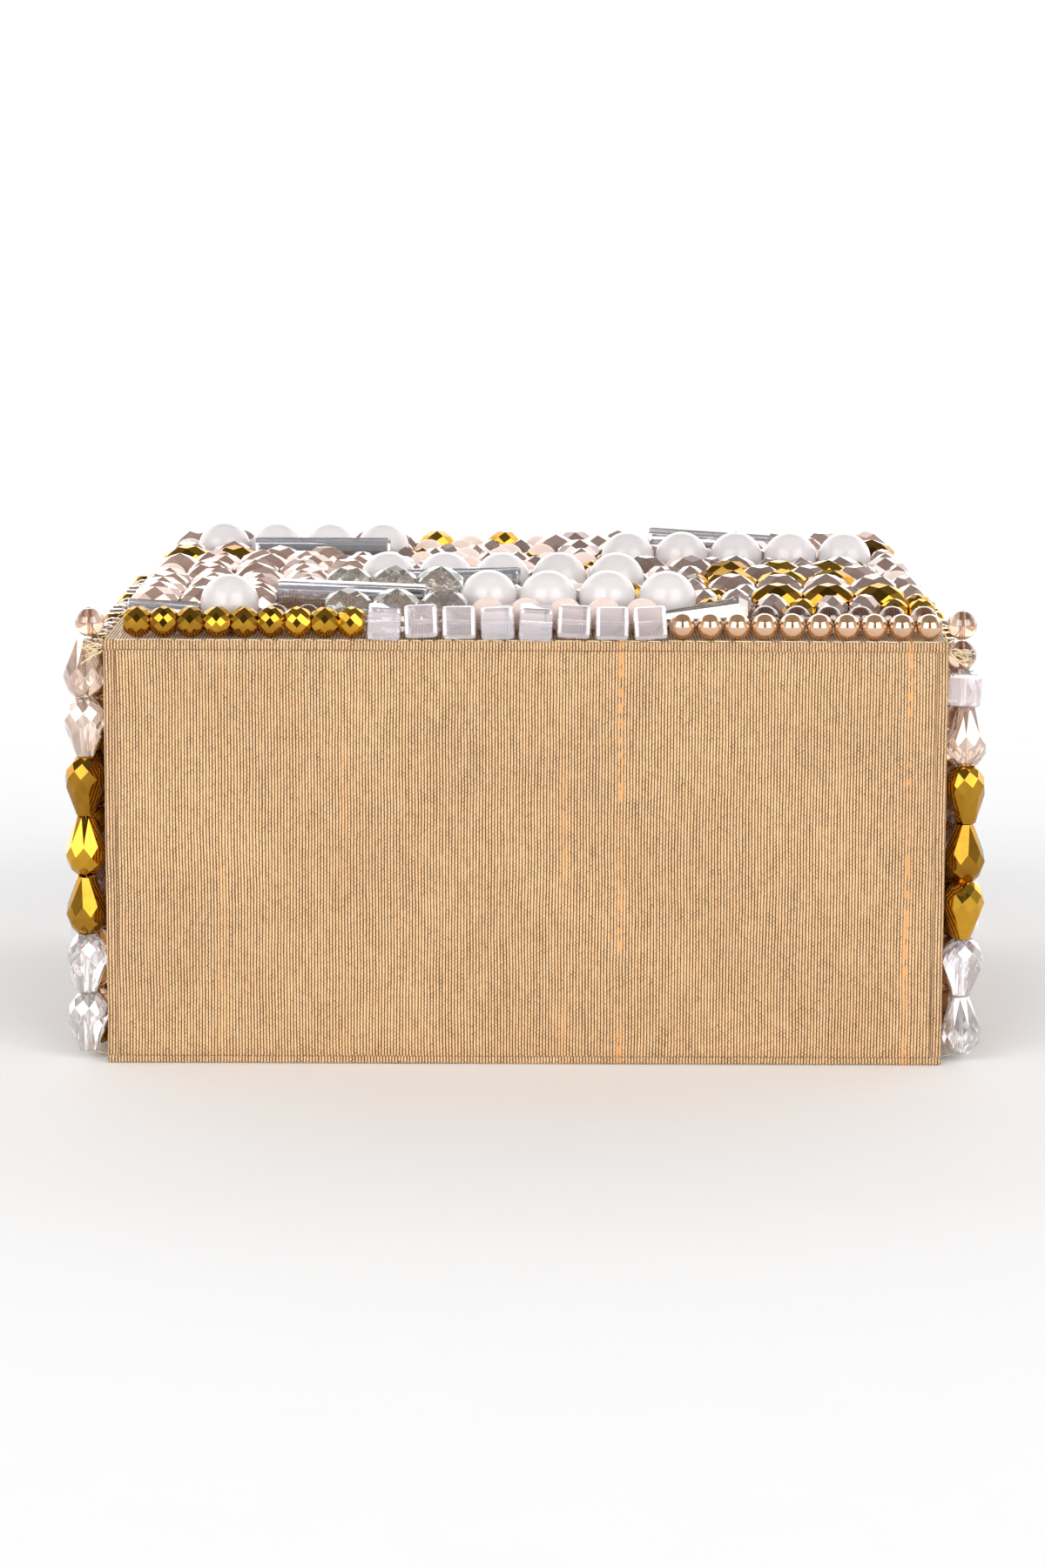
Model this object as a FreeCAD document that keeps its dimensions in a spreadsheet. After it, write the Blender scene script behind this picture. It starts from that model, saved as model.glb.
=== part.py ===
"""Hard-shell evening bag: a silk-covered board box, embroidered with glass beads, with a cloth-hinged lid.

The bag lies on its plain back panel. X runs across the bag, Y from its plain base to its top end, and
Z up from the back panel to the beaded lid. The origin is the centre of the back panel's outer face.
The lid turns about the edge where it meets the base, and two pairs of disc magnets hold its far edge.
Beads are strung along strands. Each strand is filled bead by bead, and a bead that would run into one
of an earlier strand is pushed aside by it, then rides up over it, as it does on the real embroidery.
"""

import FreeCAD, Part  # noqa: E401  FreeCAD has to be loaded before the others
import Sketcher

import itertools
import math
import os

from FreeCAD import Matrix, Placement, Rotation, Vector

OUT = "parts"
SHEET = "Sizes"

# alias, value in mm, what it is
SIZES = [
    ("case_width", 156.5, "silk to silk, across the bag"),
    ("case_length", 130.0, "base face to top end face"),
    ("case_depth", 80.0, "back face to the lid's silk"),
    ("wall_board", 1.8, "greyboard of the four walls"),
    ("back_board", 1.2, "greyboard of the back"),
    ("lid_board", 1.6, "greyboard of the lid"),
    ("silk", 0.3, "covering silk with its glue"),
    ("card", 0.8, "satin-covered lining card"),
    ("lid_card", 1.8, "padded lining card under the lid"),
    ("lid_fit", 0.5, "gap round the lid's lining card inside the walls"),
    ("hinge_cloth", 0.3, "hinge cloth thickness"),
    ("hinge_leaf", 14.0, "width of hinge cloth glued to each side"),
    ("hinge_inset", 3.0, "hinge cloth's end to the side lining"),
    ("rail_length", 92.0, "catch rail along the top end"),
    ("rail_thick", 8.0, "catch rail, front to back"),
    ("rail_height", 9.0, "catch rail height"),
    ("rail_gap", 0.3, "catch rail to the closed lid's lining"),
    ("magnet_dia", 5.0, "disc magnets"),
    ("magnet_height", 2.0, "catch rail magnets"),
    ("lid_magnet_height", 1.1, "lid magnets"),
    ("magnet_pitch", 60.0, "between the two magnets"),
    ("magnet_fit", 0.1, "gap round a magnet in its pocket"),
    ("tab_width", 12.0, "pull tab"),
    ("tab_length", 14.0, "pull tab beyond the lid's edge"),
    ("tab_thick", 1.2, "doubled silk ribbon"),
    ("bead_gap", 0.06, "least gap round a bead"),
    ("most_push", 1.9, "how far a bead may be pushed aside by others"),
    ("most_lift", 3.2, "how far a bead may ride up over others"),
    ("strand_pitch", 8.24, "between the lid's strands"),
    ("wall_pitch", 6.6, "between the strands of the walls"),
    ("edge_strand", 3.1, "lid edge to its first and last strand"),
    ("strand_slant", 0.9, "how much nearer the base a lid strand ends than it starts"),
    ("wall_strand", 4.2, "wall edge to its first and last strand"),
    ("strand_start", 3.6, "lid edge to a strand's first bead"),
    ("strand_end", 1.0, "strand's last bead to the lid edge"),
    ("wall_strand_end", 1.6, "side strand's last bead to the back"),
    ("corner_rise", 5.6, "first side strand's start above the lid's silk"),
    ("rondelle_dia", 6.0, "gold faceted rondelle"),
    ("rondelle_length", 4.9, "gold faceted rondelle"),
    ("cube_side", 6.2, "iridescent cube"),
    ("cube_spacing", 0.75, "thread shown between cubes"),
    ("pearl_dia", 5.0, "champagne glass pearl"),
    ("milk_dia", 11.0, "milky round"),
    ("small_milk_dia", 9.4, "smaller milky round on the walls"),
    ("peach_dia", 6.8, "opaque peach round"),
    ("smoke_dia", 8.6, "smoky faceted round"),
    ("smoke_lift", 2.4, "smoky rounds that ride over their neighbours"),
    ("taupe_dia", 5.5, "clear taupe ball"),
    ("rose_dia", 8.0, "rose faceted oval"),
    ("rose_length", 9.0, "rose faceted oval"),
    ("mauve_dia", 6.9, "mauve faceted round"),
    ("mauve_length", 5.9, "mauve faceted round"),
    ("haze_dia", 8.0, "large mauve faceted oval"),
    ("haze_length", 9.0, "large mauve faceted oval"),
    ("nugget_dia", 8.0, "large gold faceted oval"),
    ("nugget_length", 9.6, "large gold faceted oval"),
    ("short_nugget_length", 7.2, "large gold faceted round"),
    ("tube_dia", 4.4, "silver-lined tube"),
    ("tube_lift", 4.4, "long tubes are held up by the beads at their sides"),
    ("tube_length", 28.0, "long silver-lined tube"),
    ("short_tube_length", 13.2, "short silver-lined tube"),
    ("short_tube_lift", 1.8, "short tube over the lid's silk"),
    ("spike_dia", 6.8, "tapered crystal"),
    ("spike_length", 16.0, "tapered crystal"),
    ("drop_dia", 7.8, "faceted drops on the walls"),
    ("drop_length", 10.9, "faceted drops on the walls"),
]

doc = FreeCAD.newDocument("EveningBag")
sheet = doc.addObject("Spreadsheet::Sheet", SHEET)
for row, (alias, value, meaning) in enumerate(SIZES, start=1):
    sheet.set(f"A{row}", meaning)
    sheet.set(f"B{row}", str(value))
    sheet.setAlias(f"B{row}", alias)
doc.recompute()

sub_parts = []


def size(alias):
    """A driving dimension, read from the sheet."""
    return float(sheet.get(alias))


def bound(text):
    """Puts the sheet's name before each alias in an expression."""
    words = {alias for alias, _, _ in SIZES}
    out, word = "", ""
    for letter in text + " ":
        if letter.isalnum() or letter == "_":
            word += letter
            continue
        out += (f"{SHEET}.{word}" if word in words else word) + letter
        word = ""
    return out.strip()


# Planes that several pieces share, as expressions of the driving dimensions.
HALF_W, HALF_L = "case_width / 2", "case_length / 2"
FLOOR = "(silk + back_board)"  # where the walls stand
RIM = "(case_depth - silk - lid_board)"  # top of the walls, underside of the lid board
WALL = "(silk + wall_board)"  # silk and board of one wall


def block(name, x, y, z):
    """A Part::Box between two expressions on each axis, bound to the sheet."""
    box = doc.addObject("Part::Box", name)
    for side, axis, (low, high) in zip(("Length", "Width", "Height"), "xyz", (x, y, z)):
        box.setExpression(side, bound(f"({high}) - ({low})"))
        box.setExpression(f"Placement.Base.{axis}", bound(low))
    return box


def keep(feature, label):
    """Marks an object as a sub-part that is written out."""
    feature.Label = label
    sub_parts.append(feature)
    return feature


def cut(name, base, *tools):
    """A Part::Cut of one block by others."""
    result = base
    for number, tool in enumerate(tools):
        step = doc.addObject("Part::Cut", f"{name}_cut{number}")
        step.Base, step.Tool = result, tool
        result = step
    return result


def spread(half, inset="0"):
    """From minus to plus half, less an inset at both ends."""
    return f"-({half}) + ({inset})", f"({half}) - ({inset})"


def make_back():
    """The panel that the bag lies on: a board in a silk tray whose edges turn up round it."""
    board_x, board_y = spread(HALF_W, "silk"), spread(HALF_L, "silk")
    tray = block("back_tray", spread(HALF_W), spread(HALF_L), ("0", FLOOR))
    inside = block("back_tray_inside", board_x, board_y, ("silk", FLOOR))
    keep(cut("back_silk", tray, inside), "back_silk")
    keep(block("back_board_block", board_x, board_y, ("silk", FLOOR)), "back_board")


def make_side(label, sign):
    """One side wall: a board, and silk over its outer face and both end edges."""
    outer = (HALF_W, f"{HALF_W} - silk", f"{HALF_W} - {WALL}")
    if sign > 0:
        cover_x, board_x = (outer[2], outer[0]), (outer[2], outer[1])
    else:
        cover_x = (f"-({outer[0]})", f"-({outer[2]})")
        board_x = (f"-({outer[1]})", f"-({outer[2]})")
    height = (FLOOR, RIM)
    cover = block(f"{label}_cover", cover_x, spread(HALF_L), height)
    inside = block(f"{label}_cover_inside", board_x, spread(HALF_L, "silk"), height)
    keep(cut(f"{label}_silk", cover, inside), f"{label}_silk")
    board = block(f"{label}_board_block", board_x, spread(HALF_L, "silk"), height)
    keep(board, f"{label}_board")


def make_end(label, sign):
    """The base or the top end: a silk-faced board set in between the two side walls."""
    face = (f"{HALF_L} - silk", HALF_L)
    board = (f"{HALF_L} - {WALL}", f"{HALF_L} - silk")
    if sign < 0:
        face, board = [(f"-({high})", f"-({low})") for low, high in (face, board)]
    across = spread(HALF_W, WALL)
    keep(block(f"{label}_silk_block", across, face, (FLOOR, RIM)), f"{label}_silk")
    keep(block(f"{label}_board_block", across, board, (FLOOR, RIM)), f"{label}_board")


def make_linings():
    """Satin-covered cards on the back and the four walls. The one at the base covers the hinge cloth."""
    inner_w, inner_l = spread(HALF_W, WALL), spread(HALF_L, WALL)
    keep(block("back_card", inner_w, inner_l, (FLOOR, f"{FLOOR} + card")), "back_lining")
    height = (f"{FLOOR} + card", RIM)
    left = (f"-({HALF_W}) + {WALL}", f"-({HALF_W}) + {WALL} + card")
    right = (f"{HALF_W} - {WALL} - card", f"{HALF_W} - {WALL}")
    keep(block("left_card", left, inner_l, height), "left_lining")
    keep(block("right_card", right, inner_l, height), "right_lining")
    between = spread(HALF_W, f"{WALL} + card")
    near = f"-({HALF_L}) + {WALL} + hinge_cloth"
    far = f"{HALF_L} - {WALL}"
    under_leaf = (height[0], f"{RIM} - hinge_cloth")
    keep(block("base_card", between, (near, f"{near} + card"), under_leaf), "base_lining")
    keep(block("top_card", between, (f"{far} - card", far), height), "top_end_lining")


def make_hinge():
    """The hinge cloth: one leaf glued inside the base board, the other under the lid board."""
    across = spread(HALF_W, f"{WALL} + card + hinge_inset")
    wall_face = f"-({HALF_L}) + {WALL}"
    leaf_y = (wall_face, f"{wall_face} + hinge_cloth")
    leaf_z = (f"{RIM} - hinge_leaf", f"{RIM} - hinge_cloth")
    keep(block("case_leaf", across, leaf_y, leaf_z), "hinge_cloth_case_leaf")
    lid_y = (f"{wall_face} + hinge_cloth", f"{wall_face} + hinge_leaf")
    keep(
        block("lid_leaf", across, lid_y, (f"{RIM} - hinge_cloth", RIM)),
        "hinge_cloth_lid_leaf",
    )


def rectangle(sketch, width, height):
    """A rectangle centred on the sketch's origin, its two sizes bound to the sheet."""
    corners = [Vector(-1, -1), Vector(1, -1), Vector(1, 1), Vector(-1, 1)]
    for start, end in zip(corners, corners[1:] + corners[:1]):
        sketch.addGeometry(Part.LineSegment(start, end), False)
    rule = Sketcher.Constraint
    for line in range(4):
        sketch.addConstraint(rule("Coincident", line, 2, (line + 1) % 4, 1))
    for line, kind in enumerate(("Horizontal", "Vertical") * 2):
        sketch.addConstraint(rule(kind, line))
    sketch.addConstraint(rule("Symmetric", 0, 1, 2, 1, -1, 1))
    for name, text, line, kind in (
        ("width", width, 0, "DistanceX"),
        ("height", height, 1, "DistanceY"),
    ):
        number = sketch.addConstraint(rule(kind, line, 1, line, 2, 2.0))
        sketch.renameConstraint(number, name)
        sketch.setExpression(f"Constraints.{name}", bound(text))


def circle(sketch, across, diameter):
    """A circle on the sketch's X axis, its place and size bound to the sheet."""
    rule = Sketcher.Constraint
    number = sketch.addGeometry(Part.Circle(Vector(5, 0), Vector(0, 0, 1), 1), False)
    sketch.addConstraint(rule("PointOnObject", number, 3, -1))
    place = sketch.addConstraint(rule("DistanceX", -1, 1, number, 3, 5.0))
    sketch.renameConstraint(place, "place")
    sketch.setExpression("Constraints.place", bound(across))
    wide = sketch.addConstraint(rule("Diameter", number, 2.0))
    sketch.renameConstraint(wide, "wide")
    sketch.setExpression("Constraints.wide", bound(diameter))


def body_sketch(body, name):
    """A sketch on the body's own XY plane."""
    sketch = body.newObject("Sketcher::SketchObject", name)
    planes = [f for f in body.Origin.OriginFeatures if f.Role == "XY_Plane"]
    sketch.AttachmentSupport = (planes[0], [""])
    sketch.MapMode = "FlatFace"
    return sketch


def padded_plate(label, width, height, thickness):
    """A PartDesign body: a rectangle on XY padded upwards."""
    body = doc.addObject("PartDesign::Body", f"{label}_body")
    outline = body_sketch(body, f"{label}_outline")
    rectangle(outline, width, height)
    pad = body.newObject("PartDesign::Pad", f"{label}_pad")
    pad.Profile = outline
    pad.setExpression("Length", bound(thickness))
    return body


def magnet_pockets(body, label, across, along, depth_from, depth):
    """Two round magnet pockets, one sketched and cut, the other its mirror image."""
    outline = body_sketch(body, f"{label}_pocket_outline")
    circle(outline, across, "magnet_dia + 2 * magnet_fit")
    outline.setExpression("AttachmentOffset.Base.y", bound(along))
    outline.setExpression("AttachmentOffset.Base.z", bound(depth_from))
    before = body.Shape.Volume
    pocket = body.newObject("PartDesign::Pocket", f"{label}_pocket")
    pocket.Profile = outline
    pocket.setExpression("Length", bound(depth))
    mirror = body.newObject("PartDesign::Mirrored", f"{label}_pockets")
    mirror.Originals = [pocket]
    mirror.MirrorPlane = (outline, ["V_Axis"])
    body.Tip = mirror
    doc.recompute()
    wanted = 2 * math.pi * (size("magnet_dia") / 2 + size("magnet_fit")) ** 2
    removed = (before - body.Shape.Volume) / wanted
    if removed < 0.5:
        raise RuntimeError(f"{label}: the magnet pockets cut nothing")


def place(body, x, y, z):
    """Binds a body's place to the sheet."""
    for axis, text in zip("xyz", (x, y, z)):
        body.setExpression(f"Placement.Base.{axis}", bound(text))


RAIL_TOP = f"{RIM} - lid_card - rail_gap"
RAIL_MIDDLE = f"{HALF_L} - {WALL} - card - rail_thick / 2"


def make_catch_rail():
    """The rail inside the top end that holds the case's two magnets, flush with its top."""
    rail = padded_plate("catch_rail", "rail_length", "rail_thick", "rail_height")
    doc.recompute()
    magnet_pockets(
        rail, "catch_rail", "magnet_pitch / 2", "0", "rail_height", "magnet_height"
    )
    place(rail, "0", RAIL_MIDDLE, f"{RAIL_TOP} - rail_height")
    keep(rail, "catch_rail")


def make_magnets(label, bottom, height):
    """Two disc magnets in line with the catch rail."""
    discs = []
    for side in (-1, 1):
        disc = doc.addObject("Part::Cylinder", f"{label}_{'left' if side < 0 else 'right'}")
        disc.setExpression("Radius", bound("magnet_dia / 2"))
        disc.setExpression("Height", bound(height))
        place(disc, f"{side} * magnet_pitch / 2", RAIL_MIDDLE, bottom)
        discs.append(disc)
    pair = doc.addObject("Part::Compound", f"{label}_pair")
    pair.Links = discs
    keep(pair, label)


def make_lid():
    """Board, silk cap, lining card with pockets for the magnets, and the pull tab."""
    board_x, board_y = spread(HALF_W, "silk"), spread(HALF_L, "silk")
    board_z = (RIM, f"{RIM} + lid_board")
    cap = block("lid_cap", spread(HALF_W), spread(HALF_L), (RIM, "case_depth"))
    inside = block("lid_cap_inside", board_x, board_y, board_z)
    keep(cut("lid_silk", cap, inside), "lid_silk")
    keep(block("lid_board_block", board_x, board_y, board_z), "lid_board")

    # The card starts clear of the base lining, and its far edge clears the top end lining.
    near = f"(-({HALF_L}) + {WALL} + hinge_cloth + card + lid_fit)"
    far = f"({HALF_L} - {WALL} - card - lid_fit)"
    middle = f"({near} + {far}) / 2"
    lining = padded_plate(
        "lid_lining",
        f"case_width - 2 * ({WALL} + card + lid_fit)",
        f"{far} - {near}",
        "lid_card",
    )
    doc.recompute()
    magnet_pockets(
        lining,
        "lid_lining",
        "magnet_pitch / 2",
        f"{RAIL_MIDDLE} - {middle}",
        "lid_card",
        "lid_magnet_height + magnet_fit",
    )
    step = body_sketch(lining, "lid_lining_step_outline")
    rectangle(step, "case_width", "2 * hinge_leaf")
    step.setExpression(
        "AttachmentOffset.Base.y", bound(f"-({HALF_L}) + {WALL} - ({middle})")
    )
    step.setExpression("AttachmentOffset.Base.z", bound("lid_card"))
    recess = lining.newObject("PartDesign::Pocket", "lid_lining_step")
    recess.Profile = step
    recess.setExpression("Length", bound("hinge_cloth"))
    lining.Tip = recess
    place(lining, "0", middle, f"{RIM} - lid_card")
    keep(lining, "lid_lining")


def make_pull_tab():
    """A doubled ribbon out of the lid's far edge, with its free corners rounded."""
    low = f"{RIM} + (lid_board - tab_thick) / 2"
    ribbon = block(
        "pull_tab_ribbon",
        spread("tab_width / 2"),
        (HALF_L, f"{HALF_L} + tab_length"),
        (low, f"{low} + tab_thick"),
    )
    doc.recompute()
    rounded = doc.addObject("Part::Fillet", "pull_tab_rounded")
    rounded.Base = ribbon
    radius = size("tab_width") / 4
    end = size("case_length") / 2 + size("tab_length")
    rounded.Edges = [
        (number, radius, radius)
        for number, edge in enumerate(ribbon.Shape.Edges, start=1)
        if all(abs(v.Point.y - end) < 1e-6 for v in edge.Vertexes)
        and abs(edge.tangentAt(edge.FirstParameter).z) > 0.9
    ]
    keep(rounded, "pull_tab")


# ---------------------------------------------------------------- beads

# How far a cube's edges are rounded where beads are fitted beside it, as a share of half its side.
CORNER_SHARE = 0.3


def turned(profile):
    """A solid of revolution about X from (x, radius) points, closed on the axis."""
    ends = [(profile[0][0], 0.0), *profile, (profile[-1][0], 0.0)]
    points = [Vector(x, 0, radius) for x, radius in ends]
    outline = Part.makePolygon(points + points[:1])
    return Part.Face(outline).revolve(Vector(0, 0, 0), Vector(1, 0, 0), 360)


def ball(radius, _length):
    return Part.makeSphere(radius)


def cube(radius, _length):
    side = 2 * radius
    return Part.makeBox(side, side, side, Vector(-radius, -radius, -radius))


def rondelle(radius, length):
    """A barrel with flat ends, as a faceted bead has between its two rows of facets."""
    half = length / 2
    return turned([(-half, 0.5 * radius), (0, radius), (half, 0.5 * radius)])


def tube(radius, length):
    return turned([(-length / 2, radius), (length / 2, radius)])


def spike(radius, length):
    """A long tapered crystal, its wide end towards the strand's end."""
    half = length / 2
    return turned([(-half, 0.4 * radius), (0.8 * half, radius), (half, 0.7 * radius)])


def drop(radius, length):
    """A faceted drop with a narrow end at the strand's start."""
    half = length / 2
    profile = [(-half, 0.25 * radius), (0.25 * half, radius), (half, 0.42 * radius)]
    return turned(profile)


def upturned_drop(radius, length):
    """The same drop strung the other way round."""
    return drop(radius, length).mirror(Vector(0, 0, 0), Vector(1, 0, 0))


class Kind:
    """A sort of bead: its shape, half its thickness, its length on the thread, and the space it takes."""

    def __init__(self, shape, diameter, length=None, spacing=0.0, lift=0.0):
        self.shape = shape
        self.radius = size(diameter) / 2
        self.length = size(length or diameter)
        self.pitch = self.length + spacing + size("bead_gap")
        self.rest = self.radius + size("bead_gap") + lift

    def spheres(self):
        """The spheres that stand for it when beads are fitted together: (along, across, up, radius)."""
        reach = self.length / 2 - self.radius
        if self.shape is cube:
            small = CORNER_SHARE * self.radius
            out = self.radius - small
            corners = itertools.product((-out, 0, out), repeat=3)
            edges = [(*c, small) for c in corners if c.count(0) < 2]
            return [(0.0, 0.0, 0.0, self.radius), *edges]
        if reach <= 0:
            return [(0.0, 0.0, 0.0, self.radius)]
        count = max(2, math.ceil(2 * reach / self.radius) + 1)
        places = [reach * (2 * i / (count - 1) - 1) for i in range(count)]
        return [(along, 0.0, 0.0, self.radius) for along in places]


KINDS = {
    "gold": ("gold_rondelles", Kind(rondelle, "rondelle_dia", "rondelle_length")),
    "cube": ("iridescent_cubes", Kind(cube, "cube_side", None, size("cube_spacing"))),
    "pearl": ("glass_pearls", Kind(ball, "pearl_dia")),
    "milk": ("milky_rounds", Kind(ball, "milk_dia")),
    "small_milk": ("milky_rounds", Kind(ball, "small_milk_dia")),
    "peach": ("peach_rounds", Kind(ball, "peach_dia")),
    "smoke": ("smoky_crystals", Kind(ball, "smoke_dia")),
    "high_smoke": ("smoky_crystals", Kind(ball, "smoke_dia", lift=size("smoke_lift"))),
    "taupe": ("taupe_balls", Kind(ball, "taupe_dia")),
    "rose": ("rose_crystals", Kind(rondelle, "rose_dia", "rose_length")),
    "mauve": ("mauve_crystals", Kind(rondelle, "mauve_dia", "mauve_length")),
    "haze": ("mauve_crystals", Kind(rondelle, "haze_dia", "haze_length")),
    "nugget": ("gold_ovals", Kind(rondelle, "nugget_dia", "nugget_length")),
    "short_nugget": ("gold_ovals", Kind(rondelle, "nugget_dia", "short_nugget_length")),
    "tube": ("silver_tubes", Kind(tube, "tube_dia", "tube_length", lift=size("tube_lift"))),
    "short_tube": (
        "silver_tubes",
        Kind(tube, "tube_dia", "short_tube_length", lift=size("short_tube_lift")),
    ),
    "spike": ("tapered_crystals", Kind(spike, "spike_dia", "spike_length")),
    "rose_drop": ("rose_drops", Kind(drop, "drop_dia", "drop_length")),
    "rose_drop_up": ("rose_drops", Kind(upturned_drop, "drop_dia", "drop_length")),
    "gold_drop": ("gold_drops", Kind(drop, "drop_dia", "drop_length")),
    "gold_drop_up": ("gold_drops", Kind(upturned_drop, "drop_dia", "drop_length")),
    "clear_drop": ("clear_drops", Kind(drop, "drop_dia", "drop_length")),
    "clear_drop_up": ("clear_drops", Kind(upturned_drop, "drop_dia", "drop_length")),
}

# Strands from the base edge of the lid to its far edge, each as its runs of beads, left to right.
LID_STRANDS = [
    "gold 9, cube 8, pearl 10",
    "short_tube 1, milk 1, taupe 2, smoke 3, peach 5, spike 1, taupe 6",
    "rose 3, tube 1, mauve 1, milk 4, gold 1, mauve 2, gold 1, mauve 2, gold 2",
    "rose 4, high_smoke 3, peach 2, mauve 3, gold 1, mauve 3, nugget 3, gold 1",
    "rose 4, smoke 2, mauve 4, peach 3, gold 2, mauve 6",
    "rose 4, smoke 1, tube 1, mauve 2, peach 1, gold 1, mauve 2, haze 4, gold 1",
    "rose 4, gold 1, milk 5, mauve 2, nugget 3, mauve 2",
    "peach 1, rose 3, gold 2, peach 2, mauve 4, peach 1, mauve 2, gold 2, haze 3",
    "peach 1, rose 4, mauve 3, gold 2, peach 3, mauve 3, nugget 3, mauve 2",
    "rose 5, mauve 3, peach 3, gold 2, haze 3, mauve 2, haze 2",
    "peach 1, rose 3, mauve 3, peach 3, mauve 2, gold 2, peach 2, mauve 5, gold 1",
    "nugget 2, rose 2, mauve 2, peach 2, mauve 2, peach 2, milk 5, mauve 1",
    "rose 2, tube 1, mauve 2, peach 2, gold 2, mauve 1, gold 1, peach 3, mauve 6",
    "taupe 1, milk 4, gold 1, mauve 2, peach 2, haze 2, mauve 3, rose 2, mauve 1, nugget 1",
    "peach 3, mauve 5, peach 2, mauve 2, haze 2, mauve 1, tube 1, rose 2, gold 2",
    "haze 3, rose 2, mauve 1, short_nugget 1, peach 1, short_nugget 1, peach 1, haze 2"
    ", peach 1, rose 1, haze 3, rose 1, mauve 2",
]

# Strands down the side walls, each from the lid to the back. The first stands beside the base and
# starts on the lid's corner.
LEFT_FIRST = (
    "taupe 1, rose_drop 1, rose_drop_up 1, gold_drop_up 1, gold_drop 2, clear_drop_up 2"
)
RIGHT_FIRST = (
    "taupe 2, cube 1, rose_drop 1, gold_drop_up 1, gold_drop 1, gold_drop_up 1"
    ", clear_drop_up 1, clear_drop 1"
)
LEFT_STRANDS = [
    "mauve 3, gold 2, taupe 1, small_milk 2, gold 1, mauve 2, pearl 2",
    "pearl 3, gold 4, mauve 3, taupe 3, gold 2",
    "taupe 3, mauve 3, pearl 4, gold 3, mauve 2",
    "gold 4, taupe 3, mauve 2, small_milk 2, pearl 3",
    "mauve 2, pearl 3, gold 3, taupe 4, mauve 2",
]
RIGHT_STRANDS = [
    "gold 2, mauve 3, pearl 1, small_milk 1, taupe 1, small_milk 1, mauve 2, gold 2",
    "taupe 4, mauve 3, gold 3, pearl 3, mauve 1",
    "mauve 3, pearl 3, gold 4, taupe 3, gold 1",
    "pearl 4, gold 2, mauve 2, small_milk 2, gold 3",
    "gold 3, taupe 3, mauve 3, pearl 3, gold 1",
]
# Strands across the top end, from the lid to the back.
TOP_END_STRANDS = [
    "pearl 10, cube 4, gold 9, cube 3",
    "mauve 5, gold 3, taupe 4, peach 3, small_milk 3, mauve 4",
    "gold 5, mauve 4, pearl 6, mauve 5, peach 2, gold 5",
    "taupe 4, peach 3, small_milk 2, gold 4, mauve 5, taupe 3",
    "rose_drop 3, gold_drop 3, clear_drop 3, gold_drop 3, rose_drop 2",
]


class Beadwork:
    """Collects the beads of one body, by the node that they belong to."""

    def __init__(self, prefix):
        self.prefix = prefix
        self.solids = {}

    def add(self, kind_name, centre, along, normal):
        node, kind = KINDS[kind_name]
        across = normal.cross(along)
        turn = Matrix(
            *(along.x, across.x, normal.x, centre.x),
            *(along.y, across.y, normal.y, centre.y),
            *(along.z, across.z, normal.z, centre.z),
            *(0, 0, 0, 1),
        )
        bead = kind.shape(kind.radius, kind.length)
        bead.Placement = Placement(turn).multiply(bead.Placement)
        self.solids.setdefault(node, []).append(bead)

    def write(self):
        """Makes one document object for each node, with its beads as separate solids."""
        for node, solids in sorted(self.solids.items()):
            feature = doc.addObject("Part::Feature", f"{self.prefix}_{node}_beads")
            feature.Shape = Part.makeCompound(solids)
            keep(feature, f"{self.prefix}_{node}")


def fill_strand(runs, room):
    """Beads that fit in room, as (kind, middle). The runs start again where the room is longer than they are."""
    names = []
    for run in runs.split(", "):
        name, count = run.split(" ")
        names += [name] * int(count)
    found, used = [], 0.0
    while True:
        name = names[len(found) % len(names)]
        kind = KINDS[name][1]
        if used + kind.pitch > room:
            break
        found.append((name, used + kind.pitch / 2))
        used += kind.pitch
    spare = (room - used) / max(1, len(found) - 1)
    return [(name, middle + spare * i) for i, (name, middle) in enumerate(found)]


def settle(settled, kind, along, across, edge):
    """Where a bead comes to lie: how far across, and how high its middle is over the silk.

    It clears every sphere already settled. It is first pushed aside at its resting height, and rises
    only where it would have to go further than most_push, or over the face's edge.
    """
    gap = size("bead_gap")
    furthest = min(across + size("most_push"), edge - kind.radius)
    across = min(across, furthest)
    height = kind.rest
    moved = True
    while moved:
        moved = False
        for offset, aside_by, up_by, radius in kind.spheres():
            for other_along, other_across, other_height, other_radius in settled:
                reach = radius + other_radius + gap
                beside = abs(along + offset - other_along)
                apart = across + aside_by - other_across
                if beside >= reach or abs(apart) >= reach:
                    continue
                over = height + up_by - other_height
                if math.hypot(beside, apart, over) >= reach - 1e-6:
                    continue
                flat = reach**2 - beside**2
                aside = flat - over**2
                pushed = other_across - aside_by + math.sqrt(max(0.0, aside))
                if aside > 0 and across < pushed <= furthest:
                    across = pushed
                else:
                    across = furthest
                    rise = max(0.0, flat - (across + aside_by - other_across) ** 2)
                    height = max(height, other_height - up_by + math.sqrt(rise))
                moved = True
    return across, height


def embroider(work, origin, along, strand_step, normal, strands, room, slant=0.0, edge=math.inf):
    """Fills one face with (runs, how far across, where it starts) strands that run along it."""
    settled = []
    for runs, first_across, start in strands:
        new = []
        for name, run in fill_strand(runs, room - start):
            kind = KINDS[name][1]
            middle = start + run
            nominal = first_across - slant * middle / room
            across, height = settle(settled, kind, middle, nominal, edge)
            if height - kind.rest > size("most_lift"):
                continue
            centre = origin + along * middle + strand_step * across + normal * height
            work.add(name, centre, along, normal)
            for offset, aside_by, up_by, radius in kind.spheres():
                new.append((middle + offset, across + aside_by, height + up_by, radius))
        settled += new


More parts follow.
